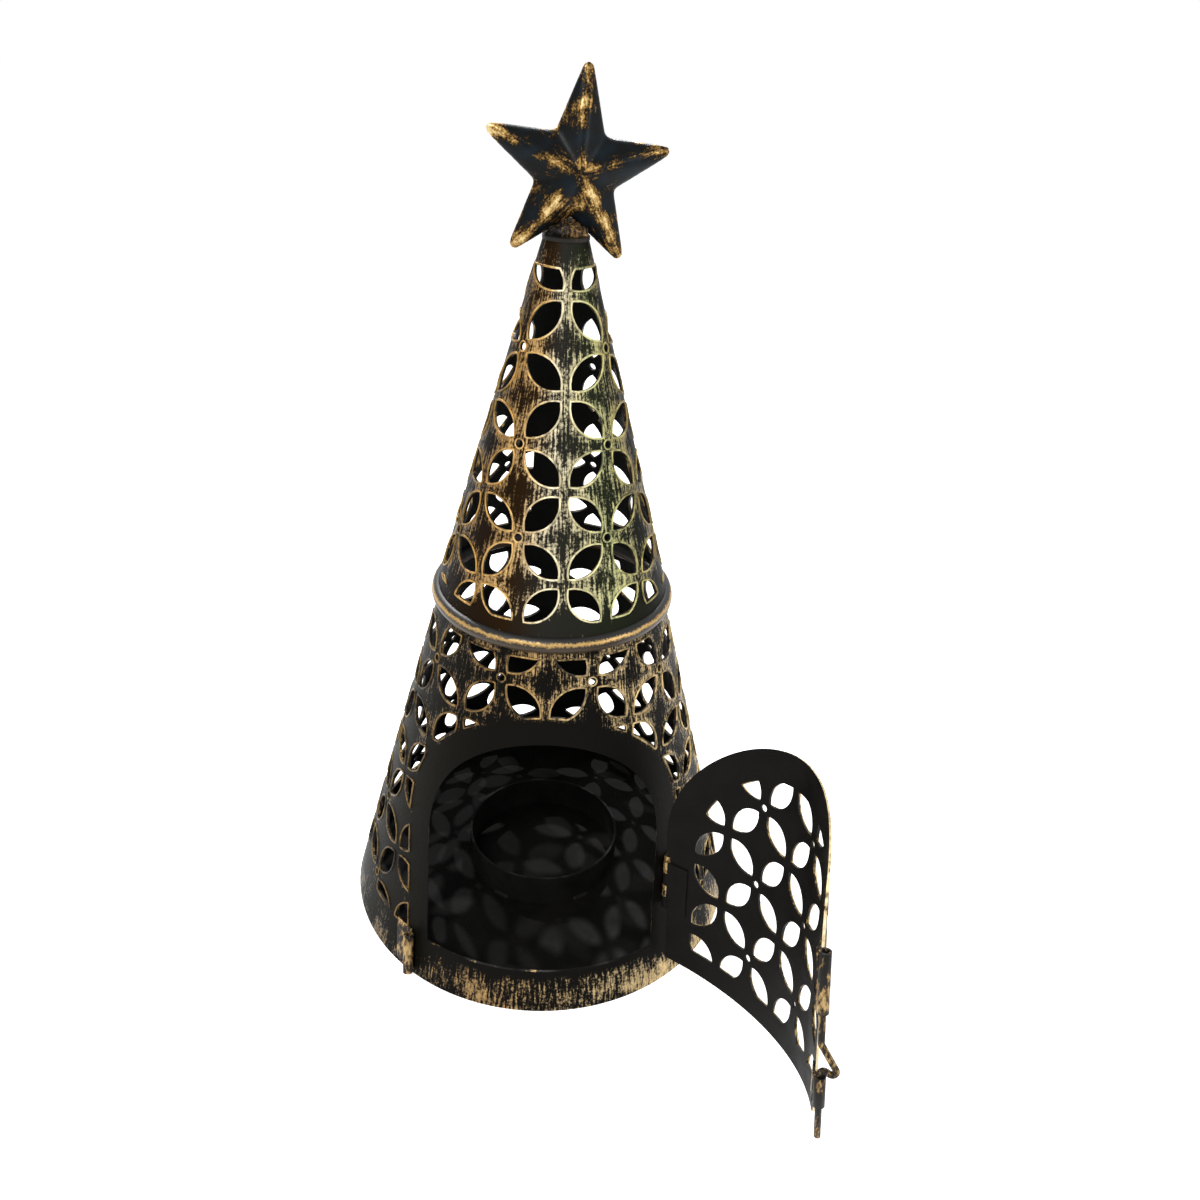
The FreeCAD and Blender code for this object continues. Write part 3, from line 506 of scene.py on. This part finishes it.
# The two numbers are how much of the surface the gold covers and its strokes' width
upper_rim_gilt = gilt_enamel("gilt_enamel_upper_rims_and_painted_light", "1c1710", *UPPER_GOLD_AND_PAINTED_LIGHT, 0.50, 1.2)
lower_rim_gilt = gilt_enamel("gilt_enamel_lower_rims_and_painted_light", "17130d", *LOWER_GOLD_AND_PAINTED_LIGHT, 0.36, 1.2)
hardware_gilt = gilt_enamel("gilt_enamel_hardware", "12110f", "6f5430", "d0b27c", 0.20, 0.8)
hinge_gilt = gilt_enamel("gilt_enamel_hinge", "100f0e", "7b5e34", "dcbf88", 0.20, 0.9)
weld_paint = gilt_enamel("painted_weld", "1f1c19", "6d5531", "c9aa72", -0.08, 0.7)
cut_edge = gilt_enamel("worn_cut_edge", "141210", "6e5a3c", "c3a874", 0.10, 1.0)
door_edge_gilt = gilt_enamel("gilt_enamel_door_edge", "1a1610", "8d7242", "efdcb0", 0.42, 0.9)
star_weld_paint = gilt_enamel("coppered_weld", "13110e", "4d3b26", "b08a58", 0.18, 0.5)
ring_black = satin_enamel("satin_black_enamel_candle_ring", "131312", "1b1a19", 0.35, 0.5)


# Star paint: blue-black enamel, with gold dragged along each arm's ridge and round the rim
def star_enamel():
    material, tree = new_material("brushed_blue_black_star_enamel")
    place = add(tree, "ShaderNodeTexCoord", {}).outputs["Object"]
    catch = add(tree, "ShaderNodeUVMap", {}, uv_map="proud").outputs[0]
    catch = add(tree, "ShaderNodeSeparateXYZ", {0: catch})
    arm = add(tree, "ShaderNodeUVMap", {}, uv_map="arm").outputs[0]
    # Patches about 5 mm across, made of strokes 0.5 mm wide, over 0.4 mm grain
    patches = add(tree, "ShaderNodeTexNoise", {"Vector": place, "Scale": 1 / (5 * MM),
                                               "Detail": 3.0})
    drawn = add(tree, "ShaderNodeVectorMath", {0: arm, 1: (1 / 0.55, 1 / 3.5, 1.0)},
                operation="MULTIPLY")
    strokes = add(tree, "ShaderNodeTexNoise", {"Vector": drawn.outputs[0], "Scale": 1.0,
                                               "Detail": 3.0, "Roughness": 0.6})
    grain = add(tree, "ShaderNodeTexNoise", {"Vector": place, "Scale": 1 / (0.4 * MM),
                                             "Detail": 2.0, "Roughness": 0.6})
    amount = add(tree, "ShaderNodeMath", {0: patches.outputs[0], 1: 2.2, 2: -2.46},
                 operation="MULTIPLY_ADD")
    amount = add(tree, "ShaderNodeMath", {0: strokes.outputs[0], 1: 1.3,
                                          2: amount.outputs[0]}, operation="MULTIPLY_ADD")
    amount = add(tree, "ShaderNodeMath", {0: grain.outputs[0], 1: 1.0,
                                          2: amount.outputs[0]}, operation="MULTIPLY_ADD")
    amount = add(tree, "ShaderNodeMath", {0: catch.outputs[0], 1: 0.46,
                                          2: amount.outputs[0]}, operation="MULTIPLY_ADD")
    amount = add(tree, "ShaderNodeMath", {0: catch.outputs[1], 1: 0.22,
                                          2: amount.outputs[0]}, operation="MULTIPLY_ADD")
    # The two lower arms took more of the brush's brown dregs
    spot = add(tree, "ShaderNodeSeparateXYZ", {0: place})
    dregs = add(tree, "ShaderNodeMapRange", {"Value": spot.outputs[2], "From Min": 176 * MM,
                                             "From Max": 190 * MM, "To Min": 0.20,
                                             "To Max": 0.0})
    amount = add(tree, "ShaderNodeMath", {0: amount.outputs[0], 1: dregs.outputs[0]},
                 operation="ADD")
    gilded = add(tree, "ShaderNodeMapRange", {"Value": amount.outputs[0], "From Min": 0.0,
                                              "From Max": 0.22},
                 interpolation_type="SMOOTHSTEP").outputs[0]
    thick = add(tree, "ShaderNodeMapRange", {"Value": amount.outputs[0], "From Min": 0.02,
                                             "From Max": 0.72}).outputs[0]
    leaf = ramp(tree, thick, ((0.0, "1c150c"), (0.30, "4a3619"), (0.60, "9a7841"),
                              (1.0, "dcc28a")))
    blue = add(tree, "ShaderNodeMapRange", {"Value": patches.outputs[0], "From Min": 0.30,
                                            "From Max": 0.52, "To Min": 1.0, "To Max": 0.0})
    enamel = add(tree, "ShaderNodeMix", {"Factor": blue.outputs[0], 6: linear("0a0b0b"),
                                         7: linear("121b21")}, data_type="RGBA")
    colour = add(tree, "ShaderNodeMix", {"Factor": gilded, 6: enamel.outputs[2], 7: leaf},
                 data_type="RGBA")
    metallic = add(tree, "ShaderNodeMath", {0: gilded, 1: 0.35}, operation="MULTIPLY")
    height = add(tree, "ShaderNodeMath", {0: gilded, 1: 0.5, 2: strokes.outputs[0]},
                 operation="MULTIPLY_ADD")
    finish_surface(tree, colour.outputs[2], metallic.outputs[0], 0.36, height.outputs[0],
                   0.03, 0.08)
    return material


star_paint = star_enamel()


# Waist hoop: black wire; the pale gold round its crest is partly rubbed gold and partly a painted
# highlight; brown on its underside
def hoop_paint_and_highlight():
    material, tree = new_material("crest_rubbed_and_highlit_hoop")
    place = add(tree, "ShaderNodeTexCoord", {}).outputs["Object"]
    parts = add(tree, "ShaderNodeSeparateXYZ", {0: place})
    flat = add(tree, "ShaderNodeCombineXYZ", {0: parts.outputs[0], 1: parts.outputs[1]})
    reach = add(tree, "ShaderNodeVectorMath", {0: flat.outputs[0]}, operation="LENGTH")
    out = add(tree, "ShaderNodeMath", {0: reach.outputs["Value"], 1: WAIST_RADIUS * MM},
              operation="SUBTRACT")
    up = add(tree, "ShaderNodeMath", {0: parts.outputs[2], 1: WAIST_HEIGHT * MM},
             operation="SUBTRACT")
    angle = add(tree, "ShaderNodeMath", {0: up.outputs[0], 1: out.outputs[0]},
                operation="ARCTAN2")
    # Rubbing wanders along the hoop in lengths of about 3 mm, with 0.5 mm grain
    grain = add(tree, "ShaderNodeTexNoise", {"Vector": place, "Scale": 1 / (0.5 * MM),
                                             "Detail": 2.0})
    wander = add(tree, "ShaderNodeTexNoise", {"Vector": place, "Scale": 1 / (3 * MM),
                                              "Detail": 2.0})
    ragged = add(tree, "ShaderNodeMath", {0: wander.outputs[0], 1: 0.35,
                                          2: angle.outputs[0]}, operation="MULTIPLY_ADD")
    ragged = add(tree, "ShaderNodeMath", {0: grain.outputs[0], 1: 0.6,
                                          2: ragged.outputs[0]}, operation="MULTIPLY_ADD")
    off_crest = add(tree, "ShaderNodeMath", {0: ragged.outputs[0], 1: 0.95},
                    operation="SUBTRACT")
    off_crest = add(tree, "ShaderNodeMath", {0: off_crest.outputs[0]}, operation="ABSOLUTE")
    crest = add(tree, "ShaderNodeMapRange", {"Value": off_crest.outputs[0], "From Min": 0.06,
                                             "From Max": 0.30, "To Min": 1.0, "To Max": 0.0})
    under = add(tree, "ShaderNodeMapRange", {"Value": ragged.outputs[0], "From Min": 0.3,
                                             "From Max": 0.9, "To Min": 1.0, "To Max": 0.0})
    colour = add(tree, "ShaderNodeMix", {"Factor": under.outputs[0], 6: linear("161513"),
                                         7: linear("33240f")}, data_type="RGBA")
    # Pale gold round the outward crest, at one angle round the wire: partly rubbed gold, partly a
    # painted highlight
    colour = add(tree, "ShaderNodeMix", {"Factor": crest.outputs[0], 6: colour.outputs[2],
                                         7: linear("b8955a")}, data_type="RGBA")
    metallic = add(tree, "ShaderNodeMath", {0: crest.outputs[0], 1: 0.4},
                   operation="MULTIPLY")
    finish_surface(tree, colour.outputs[2], metallic.outputs[0], 0.42, grain.outputs[0],
                   0.02, 0.35)
    return material


hoop_gilt_and_painted_highlight = hoop_paint_and_highlight()


def paint_with(piece, *materials):
    piece.data.materials.clear()
    for material in materials:
        piece.data.materials.append(material)


def select_only(piece):
    bpy.ops.object.select_all(action="DESELECT")
    piece.select_set(True)
    bpy.context.view_layer.objects.active = piece


def bare_copy(name, node):
    """A node's mesh with its loose triangles merged, as a new piece."""
    piece = bpy.data.objects.new(name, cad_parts[node].data.copy())
    bpy.context.scene.collection.objects.link(piece)
    select_only(piece)
    bpy.ops.object.mode_set(mode="EDIT")
    bpy.ops.mesh.select_all(action="SELECT")
    bpy.ops.mesh.remove_doubles(threshold=0.001 * MM)
    bpy.ops.mesh.customdata_custom_splitnormals_clear()
    bpy.ops.object.mode_set(mode="OBJECT")
    return piece


def dress_sheet(piece, cone, home, outside, inside, edge):
    """Gives a sheet its blank's coordinates, true cone normals, and a paint on each side;
    home is the turn that brings the sheet back onto its cone."""
    mesh = piece.data
    paint_with(piece, outside, inside, edge)
    for layer in list(mesh.uv_layers):
        mesh.uv_layers.remove(layer)
    lattice = mesh.uv_layers.new(name="lattice")
    rolled = mesh.uv_layers.new(name="rolled")
    spots = [home @ (vertex.co / MM) for vertex in mesh.vertices]
    ways = [cone.normal(spot) for spot in spots]
    back = home.to_3x3().inverted()
    normals = [None] * len(mesh.loops)
    for face in mesh.polygons:
        middle = home @ (face.center / MM)
        facing = (home.to_3x3() @ face.normal).dot(cone.normal(middle))
        face.material_index = 0 if facing > FACE_ON else 1 if facing < -FACE_ON else 2
        near = math.atan2(middle.x, -middle.y) - cone.turn
        for loop in face.loop_indices:
            vertex = mesh.loops[loop].vertex_index
            cell, length = cone.unrolled(spots[vertex], near)
            lattice.data[loop].uv = cell
            rolled.data[loop].uv = length
            smooth = back @ ways[vertex]
            if facing > FACE_ON:
                normals[loop] = smooth
            elif facing < -FACE_ON:
                normals[loop] = -smooth
            else:
                normals[loop] = face.normal.copy()
    mesh.polygons.foreach_set("use_smooth", [True] * len(mesh.polygons))
    mesh.normals_split_custom_set(normals)


def gild_outline(piece, material):
    """Paints the longest run of a sheet's cut edge, which is its own outline."""
    work = bmesh.new()
    work.from_mesh(piece.data)
    walls = {face for face in work.faces if face.material_index == 2}
    outline = []
    while walls:
        run = [walls.pop()]
        for face in run:
            for edge in face.edges:
                for beside in edge.link_faces:
                    if beside in walls:
                        walls.discard(beside)
                        run.append(beside)
        if sum(face.calc_area() for face in run) > sum(face.calc_area() for face in outline):
            outline = run
    piece.data.materials.append(material)
    for face in outline:
        piece.data.polygons[face.index].material_index = 3
    work.free()


def rim_loops(piece):
    """The closed edges of a sheet's holes on its outside, as lists of points."""
    work = bmesh.new()
    work.from_mesh(piece.data)
    follow = {}
    for edge in work.edges:
        sides = [face.material_index for face in edge.link_faces]
        if sorted(sides) == [0, 2]:
            for vertex in edge.verts:
                follow.setdefault(vertex.index, []).append(edge.other_vert(vertex).index)
    work.verts.ensure_lookup_table()
    loops = []
    while follow:
        start = min(follow)
        loop = [start]
        here = start
        while here in follow:
            beside = follow.pop(here)
            onward = [index for index in beside if index in follow]
            if not onward:
                break
            here = onward[0]
            loop.append(here)
        if start in beside and len(loop) > 4:
            loops.append([work.verts[index].co.copy() for index in loop])
    work.free()
    return loops


def length_round(points):
    """The length of a closed line through points."""
    return sum((a - b).length for a, b in zip(points, points[1:] + points[:1]))


# Raised lips that the punch leaves round every hole, on the outside of the sheet
def punched_lips(name, sheet_piece, cone, home, gilt, body):
    chance = random.Random(7)
    curve = bpy.data.curves.new(name, "CURVE")
    curve.dimensions = "3D"
    curve.bevel_depth = LIP_RADIUS * MM
    curve.bevel_resolution = 1
    back = home.to_3x3().inverted()
    for points in rim_loops(sheet_piece):
        around = length_round(points) / MM
        if around > LONGEST_HOLE_EDGE:
            continue
        spline = curve.splines.new("POLY")
        spline.points.add(len(points) - 1)
        spline.use_cyclic_u = True
        middle = sum(points, Vector()) / len(points)
        for target, point in zip(spline.points, points):
            out = back @ cone.normal(home @ (point / MM))
            away = point - middle
            away = (away - out * away.dot(out)).normalized()
            target.co = (*(point + (out * LIP_OUT + away * LIP_ASIDE) * MM), 1.0)
            full = 0.8 if around < SMALL_HOLE_EDGE else 1.0
            target.radius = full * chance.uniform(0.85, 1.15)
    piece = bpy.data.objects.new(name, curve)
    bpy.context.scene.collection.objects.link(piece)
    select_only(piece)
    bpy.ops.object.convert(target="MESH")
    piece = bpy.context.view_layer.objects.active
    piece.name = name
    bpy.ops.object.shade_smooth()
    paint_with(piece, gilt)
    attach(piece, body)
    return piece


# Every solid gets paint, those that a dressed piece stands in for too
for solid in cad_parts.values():
    paint_with(solid, inner_enamel)

# Shells and door: the punched sheets themselves
for name, node, cone, home, outside, inside, gilt, body, slot in (
        ("lower_shell_sheet", "lower_shell", lower_cone, as_it_stands, lower_paint,
         inner_enamel, lower_rim_gilt, "lantern", "shell_bronzed_black"),
        ("upper_shell_sheet", "upper_shell", upper_cone, as_it_stands, upper_paint,
         inner_enamel, upper_rim_gilt, "lantern", "upper_shell_bronzed_black"),
        ("door_sheet", "door_panel", door_cone, door_shut, door_paint, door_inner_enamel,
         lower_rim_gilt, "door", "door_black")):
    sheet_piece = bare_copy(name, node)
    dress_sheet(sheet_piece, cone, home, outside, inside, cut_edge)
    if body == "door":
        gild_outline(sheet_piece, door_edge_gilt)
    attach(sheet_piece, body)
    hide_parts(node)
    punched_lips(node + "_lips", sheet_piece, cone, home, gilt, body)


# Small hardware: the same forms with their edges eased by paint and handling
def softened(name, node, ease, material, body):
    piece = bare_copy(name, node)
    bpy.ops.object.mode_set(mode="EDIT")
    bpy.ops.mesh.select_all(action="SELECT")
    bpy.ops.mesh.dissolve_limited(angle_limit=FLAT_ANGLE)
    bpy.ops.object.mode_set(mode="OBJECT")
    bevel = piece.modifiers.new("ease", "BEVEL")
    bevel.width = ease * MM
    bevel.segments = 2
    bevel.limit_method = "ANGLE"
    bevel.angle_limit = EDGE_ANGLE
    bevel.use_clamp_overlap = True
    bpy.ops.object.modifier_apply(modifier="ease")
    bpy.ops.object.shade_smooth_by_angle(angle=SOFT_ANGLE)
    paint_with(piece, material)
    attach(piece, body)
    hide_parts(node)
    return piece


for name, node, ease, material, body, slot in (
        ("hinge_leaf_on_shell", "hinge_body_leaf", 0.1, hinge_gilt, "lantern", "hinge_black"),
        ("hinge_leaf_on_door", "hinge_door_leaf", 0.1, door_inner_enamel, "door", "hinge_black"),
        ("hinge_pin_round", "hinge_pin", 0.12, hardware_gilt, "lantern", "hinge_black"),
        ("keeper", "latch_keeper", 0.12, hardware_gilt, "lantern", "latch_bronze"),
        ("barrel_upper", "latch_upper_barrel", 0.12, hardware_gilt, "door", "latch_bronze"),
        ("barrel_lower", "latch_lower_barrel", 0.12, hardware_gilt, "door", "latch_bronze"),
        ("bolt_wire", "latch_bolt", 0.15, hardware_gilt, "bolt", "latch_bronze")):
    softened(name, node, ease, material, body)

# Pieces whose own shape shows
for node, material in (("floor_plate", inner_enamel), ("floor_plate_welds", weld_paint),
                       ("candle_ring", ring_black), ("candle_ring_welds", ring_black),
                       ("top_cap", weld_paint), ("star_stem", star_weld_paint),
                       ("waist_ring", hoop_gilt_and_painted_highlight)):
    paint_with(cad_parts[node], material)

# Star: two thin pressed halves whose ridges, edges and tips came out of the die rounded
def pressed_star():
    rim = []
    for arm in range(5):
        turn = math.tau * arm / 5
        middle = STAR_TIP - STAR_TIP_ROUND
        for step in range(-STAR_TIP_STEPS, STAR_TIP_STEPS + 1):
            bend = STAR_TIP_TURN * step / STAR_TIP_STEPS
            rim.append((middle * math.sin(turn) + STAR_TIP_ROUND * math.sin(turn + bend),
                        middle * math.cos(turn) + STAR_TIP_ROUND * math.cos(turn + bend), 0.0))
        turn += math.tau / 10
        rim.append((STAR_NOTCH * math.sin(turn), STAR_NOTCH * math.cos(turn), 0.0))
    bpy.ops.object.select_all(action="DESELECT")
    bpy.ops.mesh.primitive_circle_add(vertices=len(rim), radius=STAR_TIP * MM,
                                      location=(0.0, 0.0, 0.0))
    piece = bpy.context.view_layer.objects.active
    piece.name = "pressed_star"
    mesh = piece.data
    for vertex, point in zip(mesh.vertices, rim):
        vertex.co = Vector(point) * MM
    # Both halves are drawn from the outline to a crown
    bpy.ops.object.mode_set(mode="EDIT")
    for crown in (STAR_CROWN, -STAR_CROWN):
        bpy.ops.mesh.select_all(action="DESELECT")
        bpy.ops.mesh.select_mode(type="VERT")
        bpy.ops.mesh.select_non_manifold()
        bpy.ops.mesh.extrude_region_move(
            TRANSFORM_OT_translate={"value": (0.0, 0.0, crown * MM)})
        bpy.ops.mesh.merge(type="CENTER")
    bpy.ops.mesh.select_all(action="SELECT")
    bpy.ops.mesh.normals_make_consistent(inside=False)
    bpy.ops.object.mode_set(mode="OBJECT")
    even = piece.modifiers.new("even", "REMESH")
    even.mode = "VOXEL"
    even.voxel_size = STAR_GRID * MM
    bpy.ops.object.modifier_apply(modifier="even")
    # Fuller flanks than a plain pyramid's
    for vertex in mesh.vertices:
        share = abs(vertex.co.z) / (STAR_CROWN * MM)
        vertex.co.z = math.copysign(STAR_CROWN * MM * share ** STAR_FULLNESS, vertex.co.z)
    bpy.ops.object.mode_set(mode="EDIT")
    bpy.ops.mesh.select_all(action="SELECT")
    bpy.ops.mesh.vertices_smooth(factor=0.5, repeat=STAR_SMOOTHINGS)
    bpy.ops.mesh.normals_make_consistent(inside=False)
    bpy.ops.object.mode_set(mode="OBJECT")
    # How near each vertex is to a ridge and to the rim, where a dry brush catches, and its
    # place along and across its arm, which the strokes follow
    proud = mesh.uv_layers.new(name="proud")
    arm = mesh.uv_layers.new(name="arm")
    for face in mesh.polygons:
        lean = math.atan2(face.center.x, face.center.y)
        number = round(lean * 5 / math.tau)
        for loop in face.loop_indices:
            spot = mesh.vertices[mesh.loops[loop].vertex_index].co / MM
            lean = math.atan2(spot.x, spot.y) - math.tau / 5 * number
            reach = math.hypot(spot.x, spot.y)
            off_ridge = reach * math.sin(lean)
            ridge = max(0.0, 1.0 - abs(off_ridge + STAR_RIDGE_ASIDE) / STAR_RIDGE_HALF)
            ridge *= min(1.0, 0.3 + reach / STAR_RIDGE_LENGTH)
            edge = max(0.0, 1.0 - abs(spot.z) / STAR_RIM_HALF)
            proud.data[loop].uv = (ridge, edge)
            arm.data[loop].uv = (off_ridge + STAR_ARM_APART * number, reach * math.cos(lean))
    mesh.transform(Matrix.Translation(STAR_MIDDLE * MM) @ Matrix.Rotation(STAR_TURN, 4, "Z")
                   @ Matrix.Rotation(STAR_LEAN, 4, "Y") @ Matrix.Rotation(math.pi / 2, 4, "X"))
    bpy.ops.object.shade_smooth()
    paint_with(piece, star_paint)
    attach(piece, "lantern")
    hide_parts("star_front", "star_back")


pressed_star()


# Weld at the star's foot: a lumpy bead run round the stem and up into the star's crotch
def weld_bead():
    bpy.ops.mesh.primitive_uv_sphere_add(segments=40, ring_count=24, radius=1.0,
                                         location=(0.0, 0.0, 0.0))
    piece = bpy.context.view_layer.objects.active
    piece.name = "star_weld_bead"
    for vertex in piece.data.vertices:
        lump = 1.0 + 0.22 * noise.noise(vertex.co * 2.3) + 0.08 * noise.noise(vertex.co * 6.0)
        spot = vertex.co * Vector(BEAD_HALF_SIZE) * lump
        height = max(CAP_TOP - BEAD_SINK, CAP_TOP + BEAD_RISE + spot.z)
        vertex.co = Vector((spot.x, spot.y, height)) * MM
    select_only(piece)
    bpy.ops.object.shade_smooth()
    paint_with(piece, star_weld_paint)
    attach(piece, "lantern")
    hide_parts("star_weld")


weld_bead()

# Camera: its turn and tilt give its line of sight, its roll the two lines across that
ahead = Vector((math.sin(CAMERA_YAW) * math.cos(CAMERA_PITCH),
                math.cos(CAMERA_YAW) * math.cos(CAMERA_PITCH), math.sin(CAMERA_PITCH)))
level = Vector((math.cos(CAMERA_YAW), -math.sin(CAMERA_YAW), 0.0))
upward = level.cross(ahead)
across = level * math.cos(CAMERA_ROLL) + upward * math.sin(CAMERA_ROLL)
upward = upward * math.cos(CAMERA_ROLL) - level * math.sin(CAMERA_ROLL)
camera_data = bpy.data.cameras.new("camera")
camera_data.lens = CAMERA_LENS
camera_data.sensor_width = SENSOR_WIDTH
camera_data.clip_start = NEAR_CLIP
camera = bpy.data.objects.new("camera", camera_data)
camera.matrix_world = Matrix((
    (across.x, upward.x, -ahead.x, CAMERA_PLACE[0]),
    (across.y, upward.y, -ahead.y, CAMERA_PLACE[1]),
    (across.z, upward.z, -ahead.z, CAMERA_PLACE[2]),
    (0.0, 0.0, 0.0, 1.0)))
bpy.context.scene.collection.objects.link(camera)
bpy.context.scene.camera = camera


def seen_or_mirrored(tree):
    """1 for the rays that show the background: to the eye, off gloss and through glass."""
    ray = add(tree, "ShaderNodeLightPath", {})
    seen = add(tree, "ShaderNodeMath", {0: ray.outputs["Is Camera Ray"],
                                        1: ray.outputs["Is Glossy Ray"]}, operation="MAXIMUM")
    seen = add(tree, "ShaderNodeMath", {0: seen.outputs[0],
                                        1: ray.outputs["Is Transmission Ray"]},
               operation="MAXIMUM")
    return seen.outputs[0]


# White surroundings and a white paper floor
world = bpy.data.worlds.new("studio")
bpy.context.scene.world = world
world.use_nodes = True
world.node_tree.nodes.clear()
shown = seen_or_mirrored(world.node_tree)
strength = add(world.node_tree, "ShaderNodeMapRange", {"Value": shown,
                                                       "To Min": STUDIO_LIGHT,
                                                       "To Max": 1.0})
studio_light = add(world.node_tree, "ShaderNodeBackground", {"Color": (1.0, 1.0, 1.0, 1.0),
                                                             "Strength": strength.outputs[0]})
add(world.node_tree, "ShaderNodeOutputWorld", {"Surface": studio_light.outputs[0]})

bpy.ops.mesh.primitive_plane_add(size=FLOOR_SIZE, location=(0.0, 0.0, 0.0))
floor = bpy.context.view_layer.objects.active
floor.name = "floor"
floor_paper, tree = new_material("white_paper_floor")
glow = add(tree, "ShaderNodeMath", {0: seen_or_mirrored(tree), 1: FLOOR_GLOW},
           operation="MULTIPLY")
glow = add(tree, "ShaderNodeEmission", {"Color": (1.0, 1.0, 1.0, 1.0),
                                        "Strength": glow.outputs[0]})
paper = add(tree, "ShaderNodeBsdfDiffuse", {
    "Color": (FLOOR_GREY, FLOOR_GREY, FLOOR_GREY, 1.0)})
paper = add(tree, "ShaderNodeAddShader", {0: paper.outputs[0], 1: glow.outputs[0]})
add(tree, "ShaderNodeOutputMaterial", {"Surface": paper.outputs[0]})
floor.data.materials.append(floor_paper)


def soft_lamp(name, place, aim, size, power):
    """A square soft box at a place, aimed at a point."""
    lamp = bpy.data.lights.new(name, "AREA")
    lamp.shape = "SQUARE"
    lamp.size = size
    lamp.energy = power
    holder = bpy.data.objects.new(name, lamp)
    holder.location = place
    holder.rotation_euler = (Vector(aim) - Vector(place)).to_track_quat("-Z", "Y").to_euler()
    bpy.context.scene.collection.objects.link(holder)


soft_lamp("key_lamp", (-0.25, -0.55, 0.70), (0.0, 0.0, 0.09), 0.22, 5.0)
soft_lamp("fill_lamp", (0.6, -0.30, 0.35), (0.0, 0.0, 0.09), 0.3, 2.0)
soft_lamp("back_lamp", (0.08, 0.32, 0.50), (0.0, 0.0, 0.03), 0.012, 1.9)
soft_lamp("back_lamp_left", (-0.22, 0.30, 0.42), (0.0, 0.0, 0.03), 0.012, 1.6)

bpy.context.scene.view_settings.view_transform = "Standard"
